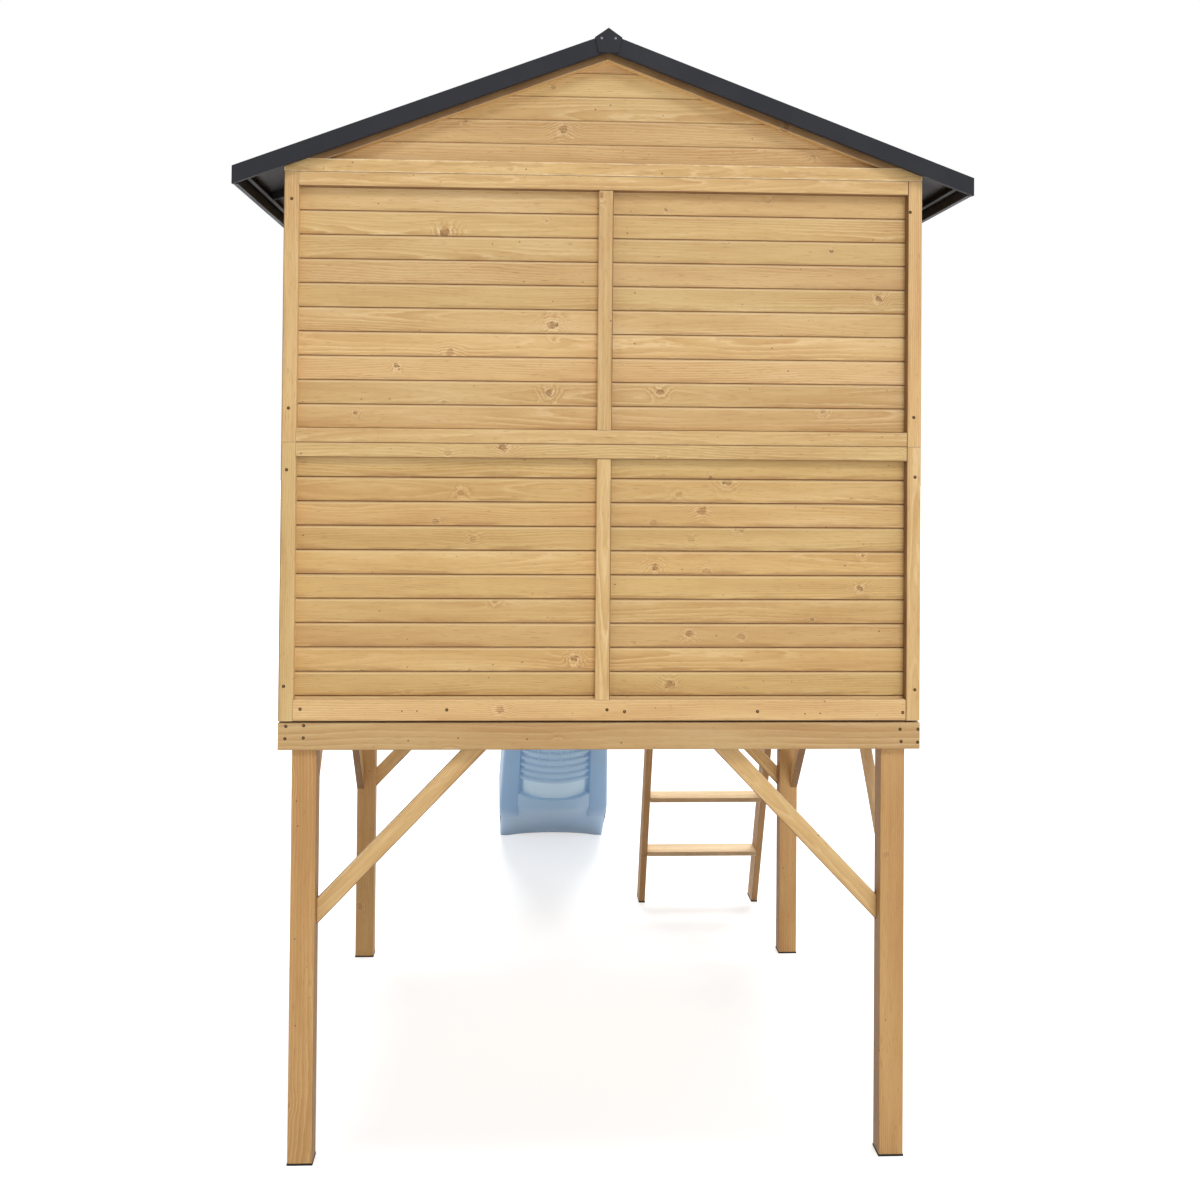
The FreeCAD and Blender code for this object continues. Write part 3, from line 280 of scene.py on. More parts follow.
def softwood_grain(shading, given):
    """Growth rings, knots and fibres of a sawn board, from where a point lies in the board."""
    add, math_of, ramp, noise = shading.add, shading.math, shading.ramp, shading.noise
    product, line = shading.product, shading.line
    in_board, seed = shading.attribute("grain_place", "Vector"), shading.attribute("board_seed")
    seeds = add("CombineXYZ", {0: seed, 1: seed, 2: seed}).outputs[0]
    apart = shading.vector("MULTIPLY", seeds, (41.0, 7.3, 3.1))
    place = shading.vector("ADD", in_board, apart)

    # Knots are the branches that pass through the board, a little longer along the grain
    def knots(scale):
        cells = add("TexVoronoi", {
            "Vector": shading.vector("MULTIPLY", place, (0.8, 1.0, 0.0)), "Scale": scale,
            "Randomness": 1.0}, feature="F1", voronoi_dimensions="2D").outputs
        return product(cells["Distance"], 1 / scale), shading.split("Color", cells["Color"])

    away, chance = knots(9.0)
    away = line(math_of("SUBTRACT", noise(place, 110.0), 0.5), 0.013, away)
    share = math_of("DIVIDE", away, line(math_of("POWER", chance[1], 2.0), 0.0068, 0.0032))
    present = product(
        ramp(chance[2], 0.0, 1.0, 0.3, 1.0), math_of("LESS_THAN", chance[0], given["Knot share"]))
    broken = ramp(noise(place, 90.0, 1.0), 0.38, 0.6)
    rim = product(ramp(share, 1.45, 1.05), ramp(share, 0.55, 0.95), broken, present)
    patchy = ramp(noise(place, 70.0), 0.4, 0.6)
    halo = product(ramp(share, 2.7, 1.5), ramp(share, 1.1, 1.4), patchy, present)
    pin_away, pin_chance = knots(17.0)
    pin_share = math_of("DIVIDE", pin_away, line(pin_chance[1], 0.0014, 0.0009))

    # Growth rings lie round the heart of the tree, and bend round the knots
    swirl = product(ramp(share, 5.5, 0.3), present)
    flat = shading.split("XYZ", in_board)
    heart = add("TexWhiteNoise", {"W": seed}, noise_dimensions="1D").outputs["Color"]
    lean = shading.split("Color", heart)
    across = math_of("ADD", flat[1], line(lean[0], 0.14, -0.07))
    deep = math_of("ADD", flat[2], line(lean[1], 0.05, 0.008))
    squares = [math_of("POWER", value, 2.0) for value in (across, deep)]
    radius = math_of("SQRT", math_of("ADD", *squares))
    radius = line(noise(place, (1.6, 6.0, 6.0), 1.0), 0.04, radius)
    radius = line(noise(place, (16.0, 90.0, 90.0), 3.0), 0.0045, radius)
    radius = line(swirl, 0.018, radius)
    turn = math_of("FRACT", math_of("DIVIDE", radius, given["Ring pitch"]))
    figured = line(ramp(noise(place, (1.4, 9.0, 9.0)), 0.4, 0.6), 0.75, 0.2)
    figured = line(swirl, 1.5, figured)
    late = product(ramp(turn, 0.3, 0.86), ramp(turn, 1.0, 0.9))
    pale = product(ramp(turn, 0.0, 0.08), ramp(turn, 0.3, 0.12))
    return {
        "Late wood": product(late, figured),
        "Pale line": product(pale, figured),
        "Knot": product(ramp(share, 1.05, 0.6), present),
        "Knot rim": rim,
        "Halo": halo,
        "Pin": product(ramp(pin_share, 1.2, 0.5), math_of("LESS_THAN", pin_chance[0], 0.2)),
        "Fleck": ramp(noise(place, (34.0, 520.0, 520.0), 0.0), 0.7, 0.8),
        "Fibre": noise(place, (14.0, 700.0, 700.0), 2.0, 0.6),
        "Cloud": noise(place, (2.0, 17.0, 17.0), 3.0, 0.6),
        "Tone": lean[2],
        "Hue": lean[0],
    }


def board_edges(shading, given):
    """Masks along the edges, the ends, the top edge and the lap of a board: pale edges, a painted
    highlight along the top edge, painted shade in the lap and in the gap, and darker ends and
    patches along the lower edge.
    """
    math_of, ramp, noise, product = shading.math, shading.ramp, shading.noise, shading.product
    place, half = (shading.attribute(name, "Vector") for name in ("grain_place", "board_half"))
    inside = shading.vector("SUBTRACT", half, shading.vector("ABSOLUTE", place))
    along, across, through = shading.split("XYZ", inside)
    nearer, farther = math_of("MINIMUM", along, across), math_of("MAXIMUM", along, across)
    second = math_of("MAXIMUM", nearer, math_of("MINIMUM", farther, through))
    seed = product(shading.attribute("board_seed"), 37.0)
    apart = shading.vector("ADD", place, shading.add("CombineXYZ", {0: seed}).outputs[0])
    # How far the pale edges reach, unevenly: wear on most boards, a painted highlight on the raking
    # battens
    edge_wear_and_highlight_reach = ramp(noise(apart, (30.0, 30.0, 30.0)), 0.25, 0.75, 0.35, 1.6)
    uneven = ramp(noise(apart, (7.0, 0.0, 0.0), 3.0), 0.3, 0.62, 0.6, 1.0)
    patches = ramp(noise(apart, (6.0, 60.0, 0.0), 3.0, 0.6), 0.35, 0.7, 0.8, 5.0)
    up, size = (shading.split("XYZ", value)[1] for value in (place, half))
    from_top, from_lap = math_of("SUBTRACT", size, up), math_of("ADD", size, up)
    lap, top = given["Lap height"], given["Lap top"]
    return {
        "Edge": math_of("SUBTRACT", 1.0, ramp(second, 0.0, product(given["Edge width"], edge_wear_and_highlight_reach))),
        "End": ramp(along, 0.0012, 0.0004),
        "Top": ramp(from_top, shading.line(lap, 0.8, top), top),
        "Lap": ramp(from_lap, lap, 0.0),
        "Gap": product(ramp(from_lap, product(lap, 0.75), product(lap, 0.45)), uneven),
        # Darker in patches just above the lower edge
        "Pool": ramp(from_lap, product(lap, patches), 0.001),
    }


def moulded_skin(shading, given):
    """Fine texture, clouding, dust and scuffs of a moulding, coating or rubber."""
    ramp, noise = shading.ramp, shading.noise
    place = shading.add("TexCoord").outputs["Object"]
    facing = shading.split("XYZ", shading.add("NewGeometry").outputs["Normal"])[2]
    dusty = ramp(noise(place, 24.0, 4.0, 0.6), 0.42, 0.7)
    lines = noise(shading.vector("MULTIPLY", place, (26.0, 1.6, 1.6)), 5.0, 3.0)
    return {
        "Grit": noise(place, given["Grit scale"], 2.0, 0.6),
        "Cloud": noise(place, 3.5, 4.0, 0.55),
        "Dust": shading.product(ramp(facing, 0.2, 1.0), dusty),
        "Scuff": ramp(lines, 0.6, 0.72),
    }


EFFECT_INPUTS = {
    softwood_grain: {"Ring pitch": 0.0052, "Knot share": 0.14},
    board_edges: {"Edge width": 0.0035, "Lap height": 0.003, "Lap top": 0.0},
    moulded_skin: {"Grit scale": 900.0},
}


def new_material(name, **plain):
    """A material with its shading and its Principled shader, on which plain values are set."""
    material = bpy.data.materials.new(name)
    material.use_nodes = True
    shader = material.node_tree.nodes["Principled BSDF"]
    for label, value in plain.items():
        shader.inputs[label.replace("_", " ")].default_value = value
    return material, Shading(material.node_tree), shader


def dress_shader(shading, shader, colour, roughness, height, depth, strength=1.0):
    """Feeds a shader its colour, its roughness and a bump of a depth in metres."""
    bump = shading.add("Bump", {"Height": height, "Distance": depth, "Strength": strength})
    shading.feed(shader.inputs["Base Color"], colour)
    shading.feed(shader.inputs["Roughness"], roughness)
    shading.feed(shader.inputs["Normal"], bump.outputs["Normal"])


def stained_timber(name, finish, stain, knot_share, ring_pitch, seam, shade,
                   lap_top=0.0, edge_wear_and_highlight=0.25):
    """Softwood with a honey stain, a painted highlight along the upper edge and painted shade in
    the seam along the lower one.
    """
    if name in bpy.data.materials:
        return bpy.data.materials[name]
    material, shading, shader = new_material(name)
    wood = shading.effect(
        softwood_grain, {"Ring pitch": ring_pitch, "Knot share": knot_share})
    edge = shading.effect(board_edges, {"Lap height": seam, "Lap top": lap_top})
    late, pale = (
        [level * share / plain for level, share, plain in zip(colour, stain, finish.stain)]
        for colour in (finish.late_wood, finish.pale_wood))
    rim, heart, groove = finish.knot_rim, finish.knot_heart, finish.groove
    cloud, fibre, ramp = wood["Cloud"], wood["Fibre"], shading.ramp

    def laid(colour, layers):
        """Layers over a colour, each the mask of its place, its strength and its colour."""
        for mask, most, over in layers:
            colour = shading.blend(shading.product(mask, most), colour, over)
        return colour

    figured = laid(stain, (
        (ramp(cloud, 0.4, 0.74), 0.5, late),
        (wood["Late wood"], 0.44, late),
        (wood["Pale line"], 0.5, pale),
        (ramp(cloud, 0.46, 0.26), 0.3, pale),
        (ramp(fibre, 0.48, 0.78), 0.3, late),
        (ramp(fibre, 0.42, 0.2), 0.25, pale),
        (wood["Fleck"], 0.4, heart),
    ))
    varied = shading.add("HueSaturation", {
        "Hue": ramp(wood["Hue"], 0.0, 1.0, 0.497, 0.506),
        "Value": ramp(wood["Tone"], 0.0, 1.0, 0.91, 1.06), "Color": figured})
    colour = laid(varied.outputs["Color"], (
        (wood["Halo"], 0.4, pale),
        (wood["Knot"], 0.65, heart),
        (wood["Knot rim"], 0.8, rim),
        (wood["Pin"], 0.8, rim),
        # Darker board ends; pale edges, worn on most kinds and a painted highlight on the raking
        # battens; a painted highlight along the top edge; darker patches along the lower edge;
        # painted shade in the lap and in the gap
        (edge["End"], 0.6 * shade + 0.2, groove),
        (edge["Edge"], edge_wear_and_highlight, finish.bare_wood if edge_wear_and_highlight > 0.5 else pale),
        (edge["Top"], 0.6, pale),
        (edge["Pool"], 0.6 * shade * shade, heart),
        (edge["Lap"], 0.5 * shade, groove),
        (edge["Gap"], shade, groove),
    ))
    relief = shading.line(wood["Late wood"], 0.5, fibre)
    dress_shader(shading, shader, colour, ramp(fibre, 0.2, 0.8, 0.5, 0.7), relief, 0.0003, 0.5)
    return material


def moulding(name, colour, grit_scale, grit_depth, rough, wear=0.0, shine=0.5, thin=None):
    """Moulded plastic, rubber or coating with clouding, dust and scuffs, and a paler colour painted
    where light would come through.
    """
    material, shading, shader = new_material(name, Specular_IOR_Level=shine)
    skin = shading.effect(moulded_skin, {"Grit scale": grit_scale})
    deeper = [level * 0.94 for level in colour]
    paler = [min(1.0, level * 1.08 + 0.004) for level in colour]
    tone = shading.blend(skin["Cloud"], deeper, paler)
    if thin is not None:
        tone = shading.blend(shading.attribute("thin_wall"), tone, thin)
    for mask, over in (("Scuff", display(190, 194, 200)), ("Dust", display(176, 170, 158))):
        tone = shading.blend(shading.product(skin[mask], wear), tone, over)
    roughness = shading.ramp(skin["Cloud"], 0.3, 0.7, rough - 0.06, rough + 0.08)
    dress_shader(shading, shader, tone, roughness, skin["Grit"], grit_depth)
    return material


def plated_steel(name, colour, rough):
    if name in bpy.data.materials:
        return bpy.data.materials[name]
    material, shading, shader = new_material(name, Metallic=0.85)
    skin = shading.effect(moulded_skin, {"Grit scale": 1400.0})
    tone = shading.blend(skin["Cloud"], [level * 0.8 for level in colour], colour)
    roughness = shading.ramp(skin["Grit"], 0.3, 0.7, rough, rough + 0.15)
    dress_shader(shading, shader, tone, roughness, skin["Grit"], 0.00005)
    return material


def clear_sheet(name):
    """Thin clear sheet of the windows, with a trace of dust."""
    material, shading, shader = new_material(
        name, Metallic=0.0, IOR=1.49, Transmission_Weight=1.0)
    skin = shading.effect(moulded_skin, {"Grit scale": 300.0})
    tone = shading.blend(skin["Cloud"], display(232, 240, 242), display(246, 250, 250))
    roughness = shading.ramp(skin["Cloud"], 0.3, 0.8, 0.02, 0.08)
    dress_shader(shading, shader, tone, roughness, skin["Cloud"], 0.0002)
    return material


# Meshes


EASED_TURN, FLAT_TURN = 0.45, math.radians(0.6)
GRAIN_WAY, UPPER_EDGE_WAY = Vector((1.0, 0.31, 0.17)), Vector((0.0, 0.2, 1.0))


def solids_of(node):
    """The closed solids of a frame node, each as its corner places and its faces."""
    mesh = frame["nodes"][node].data
    solids, corners, faces, unpaired = [], {}, [], set()
    for polygon in mesh.polygons:
        ring = []
        for index in polygon.vertices:
            key = tuple(round(value, 6) for value in mesh.vertices[index].co)
            ring.append(corners.setdefault(key, len(corners)))
        faces.append(ring)
        for first, second in zip(ring, ring[1:] + ring[:1]):
            unpaired ^= {(min(first, second), max(first, second))}
        if not unpaired:
            solids.append((list(corners), faces))
            corners, faces = {}, []
    return solids


def span(places):
    """Lowest and highest values of some places, for each direction."""
    columns = list(zip(*places))
    return [min(column) for column in columns], [max(column) for column in columns]


def limits_of(node):
    """Lowest and highest corner of a frame node."""
    return map(Vector, span(vertex.co for vertex in frame["nodes"][node].data.vertices))


def board_axes(shape):
    """Directions along, up across and through a board: its longest edge and its largest face."""
    longest = max(shape.edges, key=lambda edge: edge.calc_length())
    along = (longest.verts[1].co - longest.verts[0].co).normalized()
    if along.dot(GRAIN_WAY) < 0:
        along = -along
    level = [face for face in shape.faces if abs(face.normal.dot(along)) < 0.2]
    through = max(level, key=lambda face: face.calc_area()).normal.copy()
    through = (through - along * through.dot(along)).normalized()
    across = through.cross(along)
    if across.dot(UPPER_EDGE_WAY) < 0:
        across = -across
    return along, across, along.cross(across)


def eased_solid(corners, faces, width):
    """A solid with its flat faces whole and its sharp edges rounded."""
    shape = bmesh.new()
    points = [shape.verts.new(corner) for corner in corners]
    for face in faces:
        shape.faces.new([points[index] for index in face])
    shape.normal_update()
    bmesh.ops.dissolve_limit(
        shape, angle_limit=FLAT_TURN, verts=shape.verts[:], edges=shape.edges[:])
    sharp = [edge for edge in shape.edges if edge.calc_face_angle(0.0) > EASED_TURN]
    eased = bmesh.ops.bevel(
        shape, geom=sharp, offset=width, offset_type="OFFSET", segments=2,
        profile=0.5, affect="EDGES", clamp_overlap=True)
    for face in shape.faces:
        face.smooth = False
    for face in eased["faces"]:
        face.smooth = True
    shape.normal_update()
    return shape


def join_shapes(name, shapes, values=()):
    """One mesh from several shapes; values holds a dict of attribute values for each shape."""
    mesh = bpy.data.meshes.new(name)
    points, faces, smooth, columns = [], [], [], {}
    for number, shape in enumerate(shapes):
        shape.verts.index_update()
        start = len(points)
        points += [tuple(vertex.co) for vertex in shape.verts]
        faces += [[start + vertex.index for vertex in face.verts] for face in shape.faces]
        smooth += [face.smooth for face in shape.faces]
        if values:
            for label, column in values[number].items():
                columns.setdefault(label, []).extend(column)
        shape.free()
    mesh.from_pydata(points, [], faces)
    mesh.polygons.foreach_set("use_smooth", smooth)
    for label, column in columns.items():
        single = isinstance(column[0], float)
        made = mesh.attributes.new(label, "FLOAT" if single else "FLOAT_VECTOR", "POINT")
        flat = column if single else [part for item in column for part in item]
        made.data.foreach_set("value" if single else "vector", flat)
    mesh.update()
    return mesh


def add_object(name, mesh, material):
    mesh.materials.append(material)
    made = bpy.data.objects.new(name, mesh)
    bpy.context.scene.collection.objects.link(made)
    return made


def replace_node(node, shapes, values, material, slot):
    """Puts a node's finished shapes in its place, on its body; gives the joined mesh."""
    mesh = join_shapes(node + "_finished", shapes, values)
    piece = add_object(node + "_finished", mesh, material)
    bodies = frame["record"]["behaviour"]["bodies"]
    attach(piece, next(body for body, nodes in bodies.items() if node in nodes))
    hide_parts(node)
    return mesh


def dress_boards(node, material, slot, width):
    """Finishes a timber node: eased edges, and each board's own grain direction and seed."""
    draw = random.Random(node)
    shapes, values = [], []
    for corners, faces in solids_of(node):
        shape = eased_solid(corners, faces, width)
        axes = board_axes(shape)
        local = [[vertex.co.dot(axis) for axis in axes] for vertex in shape.verts]
        low, high = span(local)
        half = [(top - base) / 2 for base, top in zip(low, high)]
        middle = [(top + base) / 2 for base, top in zip(low, high)]
        shapes.append(shape)
        values.append({
            "grain_place": [[a - b for a, b in zip(item, middle)] for item in local],
            "board_half": [half] * len(local),
            "board_seed": [draw.random()] * len(local),
        })
    replace_node(node, shapes, values, material, slot)


def dress_mouldings(nodes, material, slot, width):
    """Finishes nodes of moulded or pressed pieces with rounded edges."""
    for node in nodes:
        shapes = [eased_solid(corners, faces, width) for corners, faces in solids_of(node)]
        replace_node(node, shapes, (), material, slot)


def rounded(points, steps=4):
    """A closed outline from corners, each a place and the radius that rounds it."""
    outline = []
    for number, (place, radius) in enumerate(points):
        corner = Vector(place)
        if not radius:
            outline.append(corner)
            continue
        before = Vector(points[number - 1][0]) - corner
        after = Vector(points[(number + 1) % len(points)][0]) - corner
        reach = radius * math.tan((math.pi - before.angle(after)) / 2)
        first = corner + before.normalized() * min(reach, before.length * 0.45)
        last = corner + after.normalized() * min(reach, after.length * 0.45)
        for step in range(steps + 1):
            share = step / steps
            outline.append(
                first * (1 - share) ** 2 + corner * (2 * share * (1 - share)) + last * share ** 2)
    return outline


def drawn_in(outline, distance):
    """A closed outline moved inwards."""
    turn = sum(a.x * b.y - b.x * a.y for a, b in zip(outline, outline[1:] + outline[:1]))
    side = math.copysign(distance, turn)
    moved = []
    for number, corner in enumerate(outline):
        run = outline[(number + 1) % len(outline)] - outline[number - 1]
        moved.append(corner + Vector((-run.y, run.x)).normalized() * side)
    return moved


def skin(rings, looped=False):
    """A closed solid through rings of corners, with flat ends or with its ends joined."""
    shape = bmesh.new()
    rows = [[shape.verts.new(corner) for corner in ring] for ring in rings]
    for low, high in zip(rows, rows[1:] + rows[:1] if looped else rows[1:]):
        for number in range(len(low)):
            after = (number + 1) % len(low)
            shape.faces.new((low[number], low[after], high[after], high[number]))
    if not looped:
        shape.faces.new(rows[0][::-1])
        shape.faces.new(rows[-1])
    for face in shape.faces:
        face.smooth = True
    bmesh.ops.recalc_face_normals(shape, faces=shape.faces[:])
    return shape


# Slot, stain, knot share, ring pitch, seam and the strength of its painted shade, then the top lap,
# which widens the painted highlight along the top edge, and the strength of the pale edges: wear on
# most kinds, a painted highlight on the raking battens
TIMBER_KINDS = {
    "timber": ("timber", "stain", 0.14, 0.0052, 0.0030, 0.75),
    # Raking battens: their pale edges are a painted highlight at full strength
    "raking": ("timber", "stain", 0.14, 0.0052, 0.0008, 0.65, 0.0, 1.0),
    "leg": ("timber", "leg_stain", 0.2, 0.0060, 0.0020, 0.3),
    "beam": ("timber", "beam_stain", 0.12, 0.013, 0.0020, 0.5),
    # The treads take the paler stain painted for the light on their tops
    "tread": ("timber", "tread_stain", 0.1, 0.0052, 0.0020, 0.3),
    "cladding": ("cladding", "board_stain", 0.2, 0.0054, 0.0050, 0.95, 0.008),
    "upper": ("cladding", "stain", 0.2, 0.0054, 0.0038, 0.8, 0.008),
    "gable": ("cladding", "stain", 0.18, 0.0054, 0.0026, 0.4, 0.008),
    "deck": ("deck", "stain", 0.2, 0.0055, 0.0030, 0.5),
}


def finish_timber(context, kind, *nodes):
    finish = context.scene.playhouse_finish
    slot, stain, *detail = TIMBER_KINDS[kind]
    material = stained_timber("stained_" + kind, finish, getattr(finish, stain), *detail)
    for node in nodes:
        dress_boards(node, material, slot, context.scene.playhouse_sizes.timber_edge)


def finish_steel(context, *nodes):
    steel = plated_steel("coated_steel", context.scene.playhouse_finish.steel_dark, 0.42)
    dress_mouldings(nodes, steel, "ironmongery", context.scene.playhouse_sizes.steel_edge)


# The slide


class SlideShape:
    """The slide as a moulding with rounded corners, on the places of the fixed frame."""

    flare_share, first_bar_rib, bar_bays, rib_count, bar_count = 0.6, 3, 5, 18, 6
    slope, level = math.radians(40), math.radians(3)
    arc_steps, slope_steps, runout_steps, bed_steps = 14, 30, 7, 8
    band_round, end_round, foot_round, foot_ceiling = 0.008, 0.0024, 0.014, 0.112
    # Share of painted light coming through the ribs
    rib_thin = 0.4

    def __init__(self, size):
        self.size = size
        low, high = limits_of("slide_chute")
        _, beam = limits_of("front_beam")
        _, deck = limits_of("deck_boards")
        self.middle = (low.x + high.x) / 2
        self.head_y, self.deck_y, self.top_z = low.y, beam.y, deck.z + size.bed
        self.end_y = high.y - size.exit_wall * math.sin(self.level)
        self.set_stations()

    def arc(self, start, radius, first, last, bend):
        """Stations along an arc of the bed, each its share of the arc, place and tilt."""
        for step in range(1, self.arc_steps + 1):
            share = step / self.arc_steps
            tilt = first + (last - first) * share
            y = start[0] + bend * radius * (math.sin(tilt) - math.sin(first))
            yield share, y, start[1] - bend * radius * (math.cos(first) - math.cos(tilt)), tilt

    def half_at(self, share):
        """Half width at a share of the slope, which flares to the foot."""
        flare = max(0.0, share - self.flare_share) / (1 - self.flare_share)
        return (self.size.top_w + (self.size.foot_w - self.size.top_w) * flare) / 2

    def set_stations(self):
        """Stations from the deck to the exit: place, tilt, half width, wall, drop and dish."""
        size, stations = self.size, []

        def add(y, z, tilt, half, wall, dish, drop=size.band_drop):
            stations.append((y, z, tilt, half, wall, drop, dish))

        top, foot = size.top_w / 2, size.foot_w / 2
        start = (self.deck_y + 0.006, self.top_z)
        for y in (self.head_y, self.deck_y + 0.001):
            add(y, self.top_z, 0.0, top, size.head_wall, 0.0, size.bed)
        add(*start, 0.0, top, size.head_wall, 0.0)
        for share, y, z, tilt in self.arc(start, size.crest_r, 0.0, self.slope, 1):
            wall = size.head_wall + (size.wall - size.head_wall) * min(1.0, share * 3)
            add(y, z, tilt, top, wall, size.dish * share)
        upper = stations[-1]
        bend = math.sin(self.slope) - math.sin(self.level)
        low_y = self.end_y - size.runout * math.cos(self.level) - size.valley_r * bend
        self.length = (low_y - upper[0]) / math.cos(self.slope)
        self.low = (low_y, upper[1] - self.length * math.sin(self.slope))
        for step in range(1, self.slope_steps + 1):
            share = step / self.slope_steps
            y, z = (a + (b - a) * share for a, b in zip(upper, self.low))
            add(y, z, self.slope, self.half_at(share), size.wall, size.dish)
        fall = (size.wall - size.exit_wall) / 5
        for share, y, z, tilt in self.arc(self.low, size.valley_r, self.slope, self.level, -1):
            add(y, z, tilt, foot, size.wall - 4 * fall * share, size.dish)
        last = stations[-1]
        for step in range(1, self.runout_steps + 1):
            share = step / self.runout_steps
            out, wall = size.runout * share, last[4] - fall * share
            add(last[0] + out * math.cos(self.level), last[1] - out * math.sin(self.level),
                self.level, foot, wall, size.dish + (size.exit_dish - size.dish) * share)
        self.stations = stations

    def at(self, station, across, up):
        y, z, tilt = station[:3]
        return Vector((self.middle + across, y + up * math.sin(tilt), z + up * math.cos(tilt)))

    def on_slope(self, across, up, along):
        """A place at a distance up the slope from its lower end."""
        y = self.low[0] - along * math.cos(self.slope)
        z = self.low[1] + along * math.sin(self.slope)
        return self.at((y, z, self.slope), across, up)

    def bed_at(self, y):
        """Height and tilt of the bed at a place along the slide."""
        for first, last in zip(self.stations, self.stations[1:]):
            if last[0] >= y:
                share = (y - first[0]) / (last[0] - first[0])
                return [a + (b - a) * share for a, b in zip(first[1:3], last[1:3])]
        return self.stations[-1][1:3]

    def pocket(self, half):
        """Half width of the hollow between the bands, which widen with the flare."""
        return half - self.size.band - self.band_round - (half - self.size.top_w / 2) * 0.55

    def below(self, across, half, dish):
        """Level of the bed's underside."""
        size = self.size
        share = min(1.0, abs(across) / (half - size.rim - size.wall_draft - size.bed_round))
        return dish * (share * share - 1) - size.bed

    def section(self, half, wall, drop, dish):
        """Rounded outline of the moulding: places across the bed and up from it."""
        size = self.size
        under, bed = self.pocket(half), half - size.rim - size.wall_draft
        side = [
            ((under, self.below(under, half, dish)), 0.008),
            ((under + self.band_round, -drop), 0.010), ((half - size.draft, -drop), 0.012),
            ((half, wall), 0.014), ((half - size.rim, wall), 0.014), ((bed, 0.0), size.bed_round),
        ]
        inner, steps = bed - size.bed_round, self.bed_steps
        shares = [step / steps - 1 for step in range(1, 2 * steps)]
        top = [((-share * inner, dish * (share * share - 1)), 0) for share in shares]
        low = [((share * under, self.below(share * under, half, dish)), 0) for share in shares]
        mirrored = [((-place[0], place[1]), radius) for place, radius in reversed(side)]
        return rounded(side + top + mirrored + low)

    def thin_of(self, station):
        """How much painted light comes through the bed at a station: most on the plain length."""
        if station[2] < self.slope - 0.001:
            return 0.35
        above = (self.low[0] - station[0]) / math.cos(self.slope)
        return 1.0 if above < self.size.rib_free + 0.01 else 0.5

    def shell(self):
        """The whole moulding with rounded ends, and the share of painted light coming through at
        each corner.
        """
        rings, thin, under = [], [], 2 * self.bed_steps - 1
        for station in self.stations:
            outline = self.section(*station[3:])
            rings.append([self.at(station, *corner) for corner in outline])
            thin.append([0.0] * (len(outline) - under) + [self.thin_of(station)] * under)
        for place, way in ((0, -1), (-1, 1)):
            station = self.stations[place]
            outline = self.section(*station[3:])
            run = Vector((0.0, math.cos(station[2]), -math.sin(station[2]))) * way
            ends = []
            for turn in map(math.radians, (30, 60, 90)):
                back = drawn_in(outline, self.end_round * (1 - math.cos(turn)))
                out = run * (self.end_round * (math.sin(turn) - 1))
                ends.append([self.at(station, *corner) + out for corner in back])
            rings[place] = [corner - run * self.end_round for corner in rings[place]]
            rings = ends[::-1] + rings if place == 0 else rings + ends
        blank = [[0.0] * len(rings[0])] * 3
        return skin(rings), [share for ring in blank + thin + blank for share in ring]

    @staticmethod
    def rib_outline(start, width, root, edge, lean, radius):
        """Outline of a rib that narrows from its root in the bed to its rounded edge."""
        end = start + width
        return rounded([
            ((start - lean, root), 0), ((start + lean, edge), radius),
            ((end - lean, edge), radius), ((end + lean, root), 0)])

    def rib(self, number):
        """Rounded cross rib that follows the hollow of the bed."""
        size = self.size
        start = size.rib_free + number * size.rib_pitch
        half = self.half_at(1 - (start + size.rib_w) / self.length)
        outline = self.rib_outline(start, size.rib_w, 0.002, -size.rib_h, 0.002, 0.006)
        rings = []
        for step in range(25):
            across = (self.pocket(half) + 0.004) * (step / 12 - 1)
            base = self.below(across, half, size.dish)
            rings.append([self.on_slope(across, base + up, along) for along, up in outline])
        return skin(rings)

    def bar(self, number):
        """Rounded rib along the slope."""
        size = self.size
        middle = (number - (self.bar_count - 1) / 2) * size.bar_pitch
        base = self.below(middle, size.top_w / 2, size.dish)
        outline = self.rib_outline(
            middle - size.bar_w / 2, size.bar_w, base + 0.003, base - size.bar_h, 0.001, 0.003)
        start = size.rib_free + self.first_bar_rib * size.rib_pitch + size.rib_w
        ends = (start, start + self.bar_bays * size.rib_pitch)
        return skin([[self.on_slope(*corner, end) for corner in outline] for end in ends])

    def foot_loop(self, half):
        """Corners round the foot: across, an offset along, and the share from back to front."""
        round_off = self.foot_round
        left = [((round_off - half) * step / 11, 0.0, 0.0) for step in range(12)]
        for turn in (0.4, 0.8, 1.2, math.pi / 2):
            across = round_off * (1 - math.sin(turn)) - half
            left.append((across, round_off * (1 - math.cos(turn)), 0.0))
        left += [(-half, round_off * (1 - step / 12), step / 12) for step in range(1, 13)]
        left += [(half * (step / 6 - 1), 0.0, 1.0) for step in range(1, 7)]
        return left + [(-across, offset, share) for across, offset, share in left[-2:0:-1]]

    def foot(self):
        """Hollow foot: a slanted back that ends in an arched toe, two sides and a front."""
        size = self.size
        half, pocket = size.foot_w / 2 - size.draft, self.pocket(size.foot_w / 2)
        last, drop = self.stations[-1], size.band_drop
        toe = last[0] - size.foot_setback
        front = last[0] - drop * math.sin(self.level)
        back = self.low[0] - drop * math.sin(self.slope)
        back_z = self.low[1] - drop * math.cos(self.slope)
        loop = self.foot_loop(half)

        def lower(across):
            """Height of the lower edge, with the arch across the toe."""
            return size.foot_arch * max(0.0, 1 - (across / (half - size.toe_w)) ** 2)

        def lip_at(across):
            """Length of the lip up the slope; it ends inside the bands."""
            if abs(across) > pocket + size.band * 0.4:
                return 0.0
            return size.lip + (size.lip_side - size.lip) * min(1.0, abs(across) / pocket) ** 4

        def into_bed(across, dish):
            return self.below(across, size.foot_w / 2, dish) + size.bed / 10

